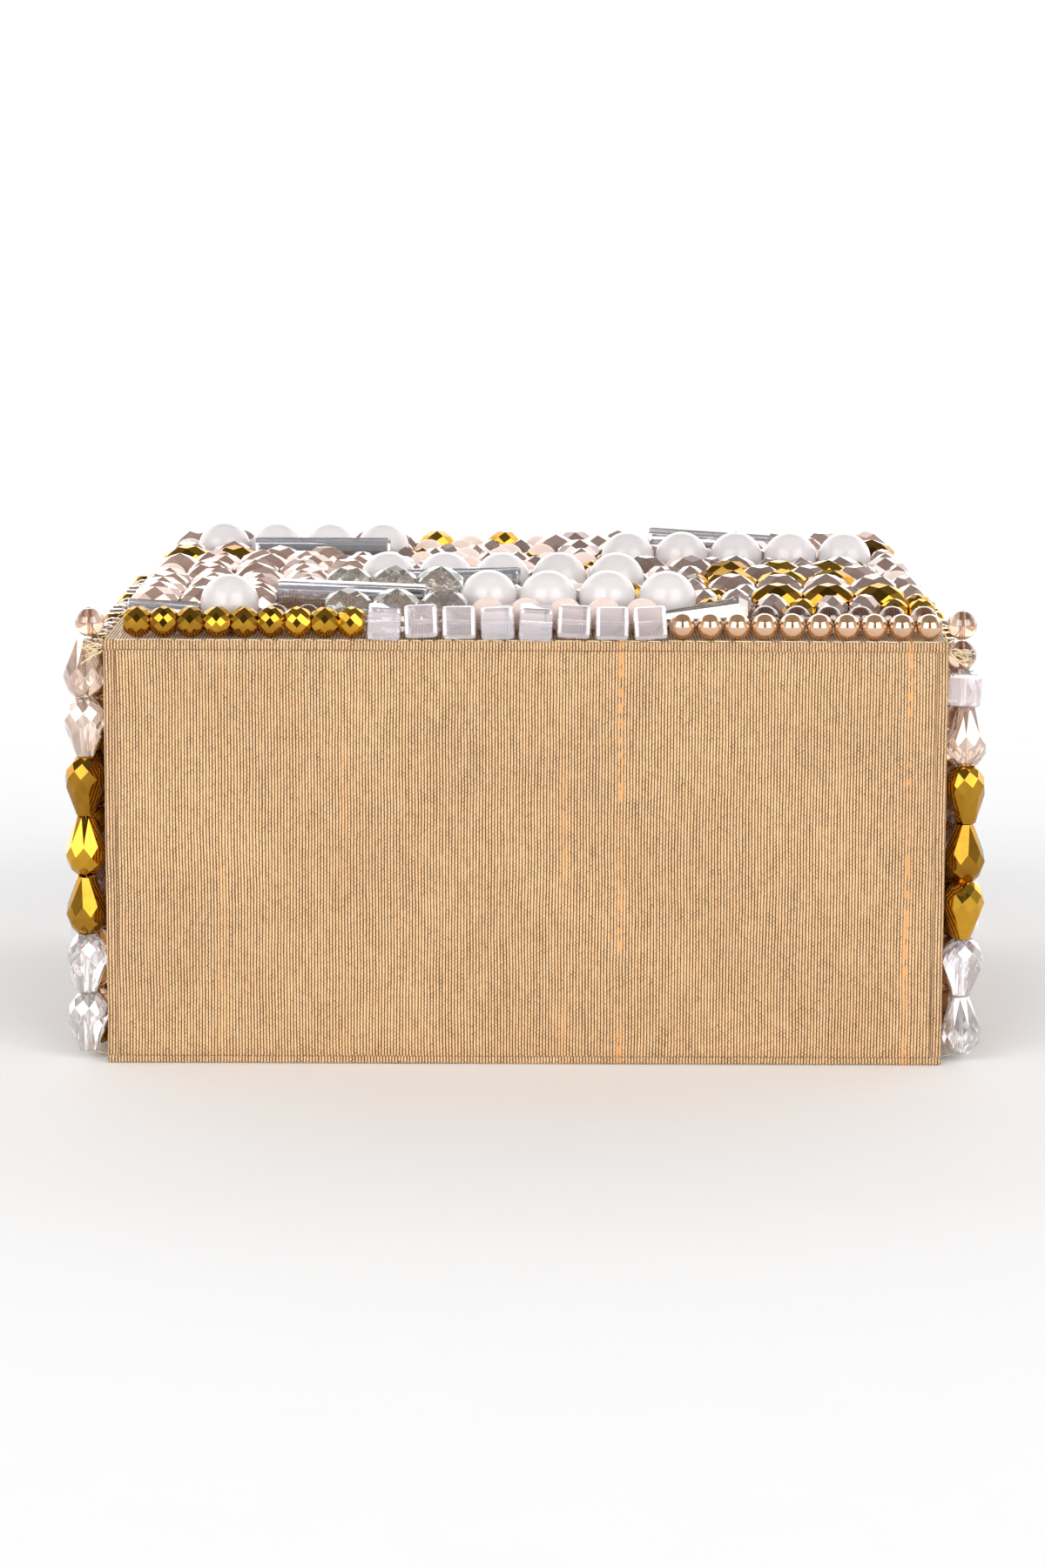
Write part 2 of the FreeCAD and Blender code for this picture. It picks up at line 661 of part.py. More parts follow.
def strands_over(span, margin, pitch, patterns, start=0.0):
    """Evenly spaced strands across a face, each with its runs, the first and last at the margin."""
    count = max(2, round((span - 2 * margin) / size(pitch)) + 1)
    step = (span - 2 * margin) / (count - 1)
    return [(patterns[i % len(patterns)], margin + step * i, start) for i in range(count)]


def make_beads():
    """Embroiders the lid, both side walls and the top end."""
    width, length, depth = size("case_width"), size("case_length"), size("case_depth")
    rim = depth - size("silk") - size("lid_board")
    x_axis, y_axis, z_axis = Vector(1, 0, 0), Vector(0, 1, 0), Vector(0, 0, 1)

    lid = Beadwork("lid")
    start, end = size("strand_start"), size("strand_end")
    corner = Vector(-width / 2 + start, -length / 2, depth)
    rows = strands_over(length, size("edge_strand"), "strand_pitch", LID_STRANDS)
    room, slant = width - start - end, size("strand_slant")
    embroider(lid, corner, x_axis, y_axis, z_axis, rows, room, slant)
    lid.write()

    case = Beadwork("case")
    high = depth + size("corner_rise")
    margin, below = size("wall_strand"), size("wall_strand_end")
    for out, first, others in ((-1, LEFT_FIRST, LEFT_STRANDS), (1, RIGHT_FIRST, RIGHT_STRANDS)):
        corner = Vector(out * width / 2, -length / 2, high)
        columns = strands_over(length, margin, "wall_pitch", others, high - rim)
        columns[0] = (first, margin, 0.0)
        embroider(case, corner, -z_axis, y_axis, x_axis * out, columns, high - below)
    layers = strands_over(rim, margin, "wall_pitch", TOP_END_STRANDS)
    far = Vector(-width / 2 + end, length / 2, rim)
    room = width - 2 * end
    embroider(case, far, x_axis, -z_axis, y_axis, layers, room, edge=rim - below / 2)
    case.write()


def write_parts():
    """Checks every object and every sub-part's shape, then writes the STEP files."""
    doc.recompute()
    for feature in doc.Objects:
        if {"Invalid", "Error"} & set(feature.State):
            raise RuntimeError(f"{feature.Label} failed: {feature.State}")
    for feature in sub_parts:
        shape = feature.Shape
        if shape.isNull() or not shape.isValid() or not shape.Solids:
            raise RuntimeError(f"{feature.Label} has no valid solid")
    os.makedirs(OUT, exist_ok=True)
    for old in os.listdir(OUT):
        if old.endswith(".step"):
            os.remove(os.path.join(OUT, old))
    for feature in sub_parts:
        feature.Shape.exportStep(os.path.join(OUT, f"{feature.Label}.step"))
    count = sum(len(feature.Shape.Solids) for feature in sub_parts)
    print(f"{len(sub_parts)} sub-parts, {count} solids")


make_back()
make_side("left", -1)
make_side("right", 1)
make_end("base", -1)
make_end("top_end", 1)
make_linings()
make_hinge()
make_catch_rail()
make_magnets("case_magnets", f"{RAIL_TOP} - magnet_height", "magnet_height")
make_lid()
make_magnets("lid_magnets", f"{RIM} - lid_magnet_height", "lid_magnet_height")
make_pull_tab()
make_beads()
write_parts()
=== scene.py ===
"""Looks for a hard-shell evening bag in ribbed silk, embroidered with glass beads.

Every piece takes its place from the CAD frame. Silk coverings, linings and ribbon are built as
soft, rounded skins over the boards. Each bead stands where its CAD solid is, cut, drilled and
strung on thread.
"""

import math
import random
from collections import namedtuple
from functools import cache

import bmesh
import bpy
import numpy as np
from bpy.props import FloatProperty, FloatVectorProperty, IntProperty, PointerProperty
from mathutils import Euler, Matrix, Vector, noise


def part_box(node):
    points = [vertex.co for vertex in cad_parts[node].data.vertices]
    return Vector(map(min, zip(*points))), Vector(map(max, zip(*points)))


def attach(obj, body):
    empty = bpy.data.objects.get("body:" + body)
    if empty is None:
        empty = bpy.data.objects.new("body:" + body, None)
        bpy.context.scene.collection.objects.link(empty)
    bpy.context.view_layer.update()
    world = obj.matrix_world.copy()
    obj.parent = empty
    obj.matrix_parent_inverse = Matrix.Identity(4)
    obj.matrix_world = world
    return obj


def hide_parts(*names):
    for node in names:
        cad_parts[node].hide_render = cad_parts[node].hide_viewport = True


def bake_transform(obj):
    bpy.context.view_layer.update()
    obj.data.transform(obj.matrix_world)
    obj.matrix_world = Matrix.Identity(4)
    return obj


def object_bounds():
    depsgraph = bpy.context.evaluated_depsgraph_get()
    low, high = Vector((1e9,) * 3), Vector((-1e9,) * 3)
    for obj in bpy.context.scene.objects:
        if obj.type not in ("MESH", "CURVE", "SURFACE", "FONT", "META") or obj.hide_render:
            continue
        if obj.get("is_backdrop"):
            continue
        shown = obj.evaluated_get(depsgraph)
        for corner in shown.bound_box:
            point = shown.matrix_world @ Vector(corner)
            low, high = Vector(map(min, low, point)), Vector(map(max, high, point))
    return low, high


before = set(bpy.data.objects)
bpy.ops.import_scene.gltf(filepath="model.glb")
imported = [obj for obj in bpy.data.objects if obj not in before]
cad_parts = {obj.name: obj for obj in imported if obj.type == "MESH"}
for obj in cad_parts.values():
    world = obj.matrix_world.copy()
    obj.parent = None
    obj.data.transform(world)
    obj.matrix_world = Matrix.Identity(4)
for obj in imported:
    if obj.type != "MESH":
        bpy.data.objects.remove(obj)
CAD_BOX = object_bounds()

bl_info = {
    "name": "Beaded evening bag",
    "version": (1, 0, 0),
    "blender": (4, 5, 0),
    "location": "View3D > Sidebar > Evening bag",
    "description": "Builds the silk, linings and beadwork of a box evening bag on its CAD frame",
    "category": "Object",
}

MM = 0.001
CASE, LID = "case", "lid"

LID_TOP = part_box("lid_silk")[1].z
LID_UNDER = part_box("lid_silk")[0].z
HALF_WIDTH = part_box("lid_silk")[1].x
HALF_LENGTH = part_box("lid_silk")[1].y

MERGE_WITHIN = 0.002 * MM  # joins a CAD mesh's loose triangles
TURN_IN = Vector((0, 0, 0.05 * MM))  # how far a covering laps over its board's raw edge
FACING = 0.5  # least share of a normal along a direction for a surface that faces it
WEAR_REACH = 1.6 * MM  # how far from an edge the silk is rubbed


# ---------------------------------------------------------------- settings


class BagSilkSettings(bpy.types.PropertyGroup):
    """The ribbed silk that covers the boards."""

    rib_pitch: FloatProperty(
        name="Rib pitch",
        description="Distance from one rib of the silk to the next",
        default=0.57 * MM,
        unit="LENGTH",
    )
    weave_pitch: FloatProperty(
        name="Weave pitch",
        description="Distance from one weave point to the next along a rib",
        default=0.74 * MM,
        unit="LENGTH",
    )
    rib_height: FloatProperty(
        name="Rib height",
        description="How far a rib stands over its grooves",
        default=0.07 * MM,
        unit="LENGTH",
    )
    edge_radius: FloatProperty(
        name="Edge radius",
        description="Roundness of a board's edge under the silk",
        default=0.45 * MM,
        unit="LENGTH",
    )
    crest: FloatVectorProperty(
        name="Rib crest",
        description="Colour of the silk on top of a rib",
        default=(0.765, 0.515, 0.285),
        subtype="COLOR",
    )
    # Painted shade: the groove colour stands in for the shadow between the ribs.
    groove_shade: FloatVectorProperty(
        name="Groove shade",
        description="Colour of the silk between ribs",
        default=(0.10, 0.045, 0.012),
        subtype="COLOR",
    )
    slub: FloatVectorProperty(
        name="Slub",
        description="Colour of the thicker yarns that run through the silk",
        default=(0.78, 0.37, 0.13),
        subtype="COLOR",
    )
    satin: FloatVectorProperty(
        name="Satin",
        description="Colour of the lining satin",
        default=(0.66, 0.45, 0.25),
        subtype="COLOR",
    )


class BagBeadSettings(bpy.types.PropertyGroup):
    """How the beads are cut and strung."""

    seed: IntProperty(
        name="Seed",
        description="Sets how each bead happens to be turned",
        default=7,
    )
    tilt: FloatProperty(
        name="Tilt",
        description="Most that a bead leans off its thread",
        default=math.radians(4),
        subtype="ANGLE",
    )
    bore: FloatProperty(
        name="Bore",
        description="Radius of a bead's thread hole",
        default=0.45 * MM,
        unit="LENGTH",
    )
    thread: FloatProperty(
        name="Thread",
        description="Radius of the thread",
        default=0.11 * MM,
        unit="LENGTH",
    )


class BagStageSettings(bpy.types.PropertyGroup):
    """Camera and studio."""

    lens: FloatProperty(
        name="Lens",
        description="Focal length on a frame 36 mm high",
        default=97.24,
        unit="CAMERA",
    )
    camera: FloatVectorProperty(
        name="Camera",
        description="Where the camera stands",
        default=(-0.00055, -0.842, 0.1776),
        subtype="TRANSLATION",
    )
    pitch: FloatProperty(
        name="Pitch",
        description="How far the camera looks down",
        default=math.radians(9.09),
        subtype="ANGLE",
    )
    roll: FloatProperty(
        name="Roll",
        description="How far the camera leans to the left",
        default=math.radians(0.2),
        subtype="ANGLE",
    )
    surround: FloatProperty(
        name="Surround",
        description="Brightness of the whole studio tent",
        default=1.47,
    )
    boxes: FloatProperty(
        name="Light boxes",
        description="Brightness of the two light boxes beside the camera",
        default=2.5,
    )
    sides: FloatProperty(
        name="Sides",
        description="Brightness of the tent's sides",
        default=0.38,
    )
    back: FloatProperty(
        name="Back wall",
        description="Brightness of the white wall behind the bag",
        default=1.55,
    )
    roof: FloatProperty(
        name="Roof",
        description="Brightness of the tent's roof",
        default=0.16,
    )
    gap: FloatProperty(
        name="Gap",
        description="Brightness of the opening where the camera stands",
        default=0.07,
    )


# ---------------------------------------------------------------- nodes and materials


class Wiring:
    """Adds nodes to a tree. An input is given a value, or an output socket to link from."""

    def __init__(self, tree):
        self.tree = tree

    def node(self, kind, inputs=None, **settings):
        made = self.tree.nodes.new(kind)
        for name, value in settings.items():
            setattr(made, name, value)
        for key, value in (inputs or {}).items():
            if isinstance(value, bpy.types.NodeSocket):
                self.tree.links.new(value, made.inputs[key])
            else:
                made.inputs[key].default_value = value
        return made

    def feed(self, node, **outputs):
        """Links outputs to a node's inputs, named with _ for a space."""
        for key, value in outputs.items():
            self.tree.links.new(value, node.inputs[key.replace("_", " ")])

    def attribute(self, name, output="Fac"):
        return self.node("ShaderNodeAttribute", attribute_name=name).outputs[output]

    def place(self):
        return self.node("ShaderNodeTexCoord").outputs["Object"]

    def noise(self, vector, scale, detail=2.0):
        inputs = {"Vector": vector, "Scale": scale, "Detail": detail}
        return self.node("ShaderNodeTexNoise", inputs).outputs[0]

    def stretch(self, vector, scale):
        return self.node("ShaderNodeMapping", {"Vector": vector, "Scale": scale}).outputs[0]

    def vector(self, x, y, z=0.0):
        return self.node("ShaderNodeCombineXYZ", {0: x, 1: y, 2: z}).outputs[0]

    def chance(self, dimensions, key, value):
        """A random number for each different value."""
        inputs = {key: value}
        made = self.node("ShaderNodeTexWhiteNoise", inputs, noise_dimensions=dimensions)
        return made.outputs["Value"]

    def math(self, operation, *values):
        inputs = dict(enumerate(values))
        return self.node("ShaderNodeMath", inputs, operation=operation).outputs[0]

    def vary(self, value, share, base):
        """base, moved up or down by a share of how far a noise is from its middle."""
        return self.math("MULTIPLY_ADD", self.math("SUBTRACT", value, 0.5), share, base)

    def toward(self, share, value, base):
        """A number part of the way from base to value."""
        step = self.math("MULTIPLY", share, self.math("SUBTRACT", value, base))
        return self.math("ADD", base, step)

    def mix(self, share, low, high, blend="MIX"):
        """A colour between two."""
        inputs = {"Factor": share, 6: low, 7: high}
        made = self.node("ShaderNodeMix", inputs, data_type="RGBA", blend_type=blend)
        return made.outputs[2]

    def between(self, value, low, high, to_low=0.0, to_high=1.0):
        """A value moved smoothly from one range to another."""
        inputs = {"Value": value, 1: low, 2: high, 3: to_low, 4: to_high}
        made = self.node("ShaderNodeMapRange", inputs, interpolation_type="SMOOTHSTEP")
        return made.outputs[0]

    def bump(self, shader, height, distance):
        made = self.node("ShaderNodeBump", {"Height": height, "Distance": distance})
        self.feed(shader, Normal=made.outputs[0])


def opaque(colour):
    return (*colour, 1.0)


def shader_group(name, inputs, outputs):
    """A new shader node group with named sockets, and its wiring, inputs and output node."""
    tree = bpy.data.node_groups.new(name, "ShaderNodeTree")
    for label, kind, default in inputs:
        socket = tree.interface.new_socket(label, in_out="INPUT", socket_type=f"NodeSocket{kind}")
        socket.default_value = default
    for label, kind in outputs:
        tree.interface.new_socket(label, in_out="OUTPUT", socket_type=f"NodeSocket{kind}")
    wires = Wiring(tree)
    return tree, wires, wires.node("NodeGroupInput").outputs, wires.node("NodeGroupOutput")


# Noise sizes of the raw silk, in cells to the metre.
YARN_STREAKS = (1700, 160, 160)
FUZZ_CELLS, DASH_CELLS, BLOTCH_CELLS, SLUB_RUN_CELLS = 3600.0, 700.0, 38.0, 30.0
# How far each thing lifts or sinks a rib, as a share of the rib's height.
KNOT_LIFT, YARN_LIFT, FUZZ_LIFT, POINT_LIFT, SLUB_LIFT = 0.16, 0.5, 0.8, 0.16, 0.5
# Rib heights between which the colour goes from the painted shade of the grooves to the crest.
LIT_FROM, LIT_TO = 0.32, 0.90
# Where things start and are at their full, on a random number or a noise from 0 to 1.
SLUB_CHOICE, SLUB_RUN, SLUB_DASH = (0.91, 0.94), (0.42, 0.52), (0.38, 0.55)
WARM_FUZZ, RUBBED_BLOTCH, SHADED_BLOTCH = (0.45, 0.62), (0.35, 0.6), (0.3, 0.7)
# How strongly each thing colours the silk.
WARM_TINT, SLUB_TINT, RUBBED_TINT, SHADES = 0.6, 0.8, -0.14, (0.93, 1.04)
PAIR_SPREAD = 7.31  # keeps the slubs of neighbouring pairs apart


@cache
def ribbed_silk_group():
    """Ribs, weave points and slubs of raw silk, laid along a piece's own weave attribute, with
    painted shade darkening the low parts of the weave.
    """
    tree, w, given, out = shader_group(
        "Ribbed silk",
        [
            ("Rib pitch", "Float", 0.57 * MM),
            ("Weave pitch", "Float", 0.74 * MM),
            ("Crest", "Color", (1, 1, 1, 1)),
            ("Groove shade", "Color", (0, 0, 0, 1)),
            ("Slub", "Color", (1, 0, 0, 1)),
        ],
        [("Color", "Color"), ("Height", "Float"), ("Roughness", "Float")],
    )
    weave = w.attribute("weave", "Vector")
    split = w.node("ShaderNodeSeparateXYZ", {0: weave}).outputs
    across = w.math("DIVIDE", split["X"], given["Rib pitch"])
    rib = w.math("FRACT", across)
    number = w.math("FLOOR", across)
    crest = w.math("SINE", w.math("MULTIPLY", rib, math.pi))
    odd = w.math("MULTIPLY", w.math("MODULO", number, 2.0), 0.5)
    along = w.math("ADD", w.math("DIVIDE", split["Y"], given["Weave pitch"]), odd)
    knot = w.math("SINE", w.math("MULTIPLY", along, math.tau))
    yarn = w.noise(w.stretch(weave, YARN_STREAKS), 1.0, 3.0)
    point = w.chance("2D", "Vector", w.vector(number, w.math("FLOOR", along)))
    blotches = w.noise(weave, BLOTCH_CELLS, 4.0)
    fuzz = w.noise(weave, FUZZ_CELLS)

    pairs = w.math("FLOOR", w.math("MULTIPLY", number, 0.5))
    chosen = w.between(w.chance("1D", "W", pairs), *SLUB_CHOICE)
    run = w.math("MULTIPLY", split["Y"], SLUB_RUN_CELLS)
    run = w.noise(w.vector(w.math("MULTIPLY", pairs, PAIR_SPREAD), run), 1.0)
    dashes = w.noise(weave, DASH_CELLS)
    slub = w.math("MULTIPLY", chosen, w.between(run, *SLUB_RUN))
    slub = w.math("MULTIPLY", slub, w.between(dashes, *SLUB_DASH))

    lift = w.math("MULTIPLY_ADD", knot, KNOT_LIFT, crest)
    lift = w.vary(yarn, YARN_LIFT, lift)
    lift = w.vary(fuzz, FUZZ_LIFT, lift)
    lift = w.vary(point, POINT_LIFT, lift)
    warm = w.math("MULTIPLY", w.between(fuzz, *WARM_FUZZ), WARM_TINT)
    crest_colour = w.mix(warm, given["Crest"], given["Slub"])
    # Painted shade: low parts of the weave take the dark groove colour.
    colour = w.mix(w.between(lift, LIT_FROM, LIT_TO), given["Groove shade"], crest_colour)
    colour = w.mix(w.math("MULTIPLY", slub, SLUB_TINT), colour, given["Slub"])
    wear = w.attribute("wear")
    patches = w.between(blotches, *RUBBED_BLOTCH)
    rubbed = w.math("MULTIPLY", w.math("MULTIPLY", wear, wear), patches)
    worn = w.math("MULTIPLY_ADD", rubbed, RUBBED_TINT, 1.0)
    shade = w.math("MULTIPLY", w.between(blotches, *SHADED_BLOTCH, *SHADES), worn)
    shades = w.node("ShaderNodeCombineColor", {0: shade, 1: shade, 2: shade}).outputs[0]
    w.feed(
        out,
        Color=w.mix(1.0, colour, shades, "MULTIPLY"),
        Height=w.math("MULTIPLY_ADD", slub, SLUB_LIFT, lift),
        Roughness=w.between(lift, 0.0, 1.2, 0.75, 0.5),
    )
    return tree


CLOUD_CELLS, FILM_CELLS = 400.0, 900.0  # clouds in glass and smears on it, in cells to the metre
OWN_TONE = 0.6  # how much of a bead's shade is its own, the rest being clouds in its glass


@cache
def bead_tint_group():
    """Gives every bead its own shade, and its glass a slight ripple and film."""
    tree, w, given, out = shader_group(
        "Bead tint",
        [
            ("Light", "Color", (1, 1, 1, 1)),
            ("Deep", "Color", (0.5, 0.5, 0.5, 1)),
            ("Least roughness", "Float", 0.02),
            ("Most roughness", "Float", 0.08),
        ],
        [("Color", "Color"), ("Roughness", "Float"), ("Height", "Float")],
    )
    tone = w.math("MULTIPLY", w.attribute("tone"), OWN_TONE)
    place = w.place()
    cloud = w.noise(place, CLOUD_CELLS)
    share = w.math("ADD", tone, w.math("MULTIPLY", cloud, 1.0 - OWN_TONE))
    film = w.noise(place, FILM_CELLS, 3.0)
    least, most = given["Least roughness"], given["Most roughness"]
    rough = w.node("ShaderNodeMapRange", {"Value": film, 1: 0.35, 2: 0.7, 3: least, 4: most})
    colour = w.mix(share, given["Light"], given["Deep"])
    w.feed(out, Color=colour, Roughness=rough.outputs[0], Height=cloud)
    return tree


def new_material(name, **plain):
    """A material with one Principled shader, its plain inputs set by name."""
    material = bpy.data.materials.new(name)
    material.use_nodes = True
    wires = Wiring(material.node_tree)
    shader = material.node_tree.nodes["Principled BSDF"]
    for key, value in plain.items():
        shader.inputs[key.replace("_", " ")].default_value = value
    return material, wires, shader


def silk_material():
    settings = bpy.context.scene.bag_silk
    material, w, shader = new_material(
        "Ribbed raw silk",
        Sheen_Weight=0.25,
        Sheen_Roughness=0.4,
        Sheen_Tint=(1.0, 0.86, 0.66, 1),
    )
    inputs = {
        "Rib pitch": settings.rib_pitch,
        "Weave pitch": settings.weave_pitch,
        "Crest": opaque(settings.crest),
        "Groove shade": opaque(settings.groove_shade),
        "Slub": opaque(settings.slub),
    }
    cloth = w.node("ShaderNodeGroup", inputs, node_tree=ribbed_silk_group())
    w.feed(shader, Base_Color=cloth.outputs["Color"], Roughness=cloth.outputs["Roughness"])
    w.bump(shader, cloth.outputs["Height"], 0.05 * MM)
    return material


def satin_material():
    """Lining satin: a smooth face of long floats, a little uneven."""
    settings = bpy.context.scene.bag_silk
    material, w, shader = new_material("Lining satin", Sheen_Weight=0.4, Sheen_Roughness=0.25)
    weave = w.attribute("weave", "Vector")
    floats = w.noise(w.stretch(weave, (4000, 500, 500)), 1.0, 3.0)
    folds = w.noise(weave, 60.0, 3.0)
    deep = tuple(0.72 * c for c in settings.satin)
    colour = w.mix(floats, opaque(deep), opaque(settings.satin))
    w.feed(shader, Base_Color=colour, Roughness=w.between(floats, 0.3, 0.7, 0.42, 0.3))
    w.bump(shader, w.math("MULTIPLY_ADD", folds, 6.0, floats), 0.03 * MM)
    return material


def greyboard_material():
    """Pressed grey pulp with flecks."""
    material, w, shader = new_material("Greyboard", Roughness=0.9)
    place = w.place()
    pulp = w.noise(place, 700.0, 6.0)
    flecks = w.node("ShaderNodeTexVoronoi", {"Vector": place, "Scale": 420.0}).outputs[0]
    colour = w.mix(pulp, (0.26, 0.24, 0.21, 1), (0.47, 0.44, 0.39, 1))
    colour = w.mix(w.between(flecks, 0.08, 0.02), colour, (0.12, 0.1, 0.09, 1))
    w.feed(shader, Base_Color=colour)
    w.bump(shader, pulp, 0.06 * MM)
    return material


def nickel_material():
    """Bright nickel plate, lightly scuffed."""
    material, w, shader = new_material("Bright nickel", Metallic=1.0)
    worn = w.noise(w.place(), 1500.0, 5.0)
    colour = w.mix(worn, (0.62, 0.61, 0.58, 1), (0.80, 0.79, 0.77, 1))
    w.feed(shader, Base_Color=colour, Roughness=w.between(worn, 0.3, 0.7, 0.16, 0.34))
    return material


def thread_material():
    """Waxed polyester thread, its plies slightly different in colour."""
    material, w, shader = new_material("Beading thread", Roughness=0.45)
    ply = w.noise(w.place(), 2600.0)
    w.feed(shader, Base_Color=w.mix(ply, (0.62, 0.44, 0.20, 1), (0.95, 0.84, 0.60, 1)))
    w.bump(shader, ply, 0.04 * MM)
    return material


def paper_material():
    """A white paper sweep."""
    material, w, shader = new_material("White paper sweep", Roughness=0.85, Specular_IOR_Level=0.1)
    grain = w.noise(w.place(), 60.0)
    w.feed(shader, Base_Color=w.mix(grain, (0.93, 0.93, 0.935, 1), (0.95, 0.95, 0.95, 1)))
    return material


def bead_material(name, light, deep, roughness=(0.01, 0.05), waves=0.004 * MM, **plain):
    """Glass of one sort. Each bead gets its own shade between light and deep."""
    material, w, shader = new_material(name, **plain)
    inputs = {
        "Light": opaque(light),
        "Deep": opaque(deep),
        "Least roughness": roughness[0],
        "Most roughness": roughness[1],
    }
    tint = w.node("ShaderNodeGroup", inputs, node_tree=bead_tint_group())
    w.feed(shader, Base_Color=tint.outputs["Color"], Roughness=tint.outputs["Roughness"])
    w.bump(shader, tint.outputs["Height"], waves)
    return material


# Each sort of glass: its lightest and deepest bead, and the plain inputs of its shader.
BEAD_FINISHES = {
    "gold": dict(
        light=(0.76, 0.42, 0.045), deep=(0.21, 0.088, 0.010), Metallic=1.0, roughness=(0.02, 0.06)
    ),
    "iridescent": dict(
        light=(0.97, 0.93, 1.0), deep=(1.0, 0.90, 0.90), Transmission_Weight=0.72, IOR=1.5,
        roughness=(0.0, 0.02), waves=0.001 * MM, Coat_Weight=1.0, Coat_IOR=1.9,
    ),
    "pearl": dict(
        light=(0.70, 0.38, 0.17), deep=(0.50, 0.25, 0.10), Metallic=0.7, roughness=(0.05, 0.10),
        waves=0.0005 * MM, Coat_Weight=1.0, Coat_Roughness=0.01, Coat_IOR=2.6,
    ),
    "milky": dict(
        light=(0.73, 0.69, 0.69), deep=(0.64, 0.605, 0.61), roughness=(0.08, 0.13),
        Subsurface_Weight=0.8, Subsurface_Scale=0.002, Subsurface_Radius=(1.0, 0.95, 0.9),
    ),
    "peach": dict(
        light=(0.88, 0.72, 0.65), deep=(0.80, 0.62, 0.54), roughness=(0.38, 0.5),
        Subsurface_Weight=0.3, Subsurface_Scale=0.001, Subsurface_Radius=(1.0, 0.8, 0.7),
    ),
    "smoky": dict(
        light=(0.98, 0.96, 0.92), deep=(0.82, 0.77, 0.69), Transmission_Weight=0.9, IOR=1.56,
        Coat_Weight=0.7, Coat_IOR=1.9,
    ),
    "taupe": dict(
        light=(0.82, 0.60, 0.46), deep=(0.55, 0.34, 0.24), Transmission_Weight=1.0, IOR=1.54,
        Coat_Weight=0.8, Coat_IOR=1.9,
    ),
    "rose": dict(
        light=(0.90, 0.62, 0.50), deep=(0.52, 0.29, 0.20), Metallic=0.25, Transmission_Weight=0.45,
        IOR=1.6, Coat_Weight=1.0, Coat_IOR=2.0,
    ),
    "mauve": dict(
        light=(0.70, 0.50, 0.43), deep=(0.34, 0.21, 0.165), Metallic=0.25, Transmission_Weight=0.45,
        IOR=1.6, Coat_Weight=1.0, Coat_IOR=2.0,
    ),
    "blush": dict(
        light=(0.99, 0.87, 0.79), deep=(0.90, 0.68, 0.55), Metallic=0.3, Transmission_Weight=0.85,
        IOR=1.55, Coat_Weight=0.8, Coat_IOR=1.8,
    ),
    "sparkling": dict(
        light=(0.98, 0.93, 0.90), deep=(0.80, 0.70, 0.63), Metallic=0.4, Transmission_Weight=0.9,
        IOR=1.6, Coat_Weight=1.0, Coat_IOR=2.0,
    ),
    "clear": dict(
        light=(1.0, 0.98, 0.99), deep=(0.92, 0.90, 0.95), Metallic=0.15, Transmission_Weight=0.85,
        IOR=1.56, roughness=(0.0, 0.02), waves=0.001 * MM, Coat_Weight=0.8, Coat_IOR=1.9,
    ),
    "silver": dict(light=(0.80, 0.84, 0.92), deep=(0.62, 0.66, 0.74), Metallic=1.0),
}


@cache
def finish(name):
    """The material of one sort, made when it is first used."""
    makers = {
        "silk": silk_material,
        "satin": satin_material,
        "greyboard": greyboard_material,
        "nickel": nickel_material,
        "thread": thread_material,
        "paper": paper_material,
    }
    if name in makers:
        return makers[name]()
    return bead_material(f"{name.capitalize()} glass", **BEAD_FINISHES[name])


# ---------------------------------------------------------------- meshes


def add_object(name, mesh):
    obj = bpy.data.objects.new(name, mesh)
    bpy.context.scene.collection.objects.link(obj)
    return obj


def settle_piece(obj, body, slot, material, replaced=()):
    """Gives a finished piece its material and its body."""
    obj.data.materials.clear()
    obj.data.materials.append(finish(material))
    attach(obj, body)
    if replaced:
        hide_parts(*replaced)
    return obj


def mesh_from(name, bm, smooth):
    """The finished mesh of a bmesh."""
    mesh = bpy.data.meshes.new(name)
    bm.to_mesh(mesh)
    bm.free()
    if smooth:
        mesh.shade_smooth()
    else:
        mesh.shade_flat()
    return mesh


def circle(sides, turn=0.0):
    """The angles of evenly spaced points round a circle."""
    return [math.tau * s / sides + turn for s in range(sides)]


def quads(bm, here, there, closed=False):
    """Fills the band between two rows of points."""
    count = len(here)
    for c in range(count if closed else count - 1):
        d = (c + 1) % count
        bm.faces.new((here[c], here[d], there[d], there[c]))


def ripple(point, *waves):
    """Smooth unevenness at a point. Each wave is its height, and how many there are to a metre."""
    return sum(height * noise.noise(point * count) for height, count in waves)


def waver(weave):
    """How far a rib strays from its straight line."""
    return ripple(Vector((weave.x, weave.y, 0)), (0.22 * MM, 55.0), (0.07 * MM, 260.0))


BEND = (0.0, 0.22, 0.5, 0.8)  # grid lines round an edge, as shares of its radius


def steps_between(low, high, radius, pitch):
    """Grid lines from low to high: close together at both rounded ends, then evenly spaced."""
    radius = min(radius, (high - low) / 2 - 1e-7)
    count = max(1, round((high - low - 2 * radius) / pitch))
    middle = np.linspace(low + radius, high - radius, count + 1)
    ends = [low + radius * b for b in BEND]
    return np.array([*ends, *middle, *[high - radius * b for b in reversed(BEND)]])


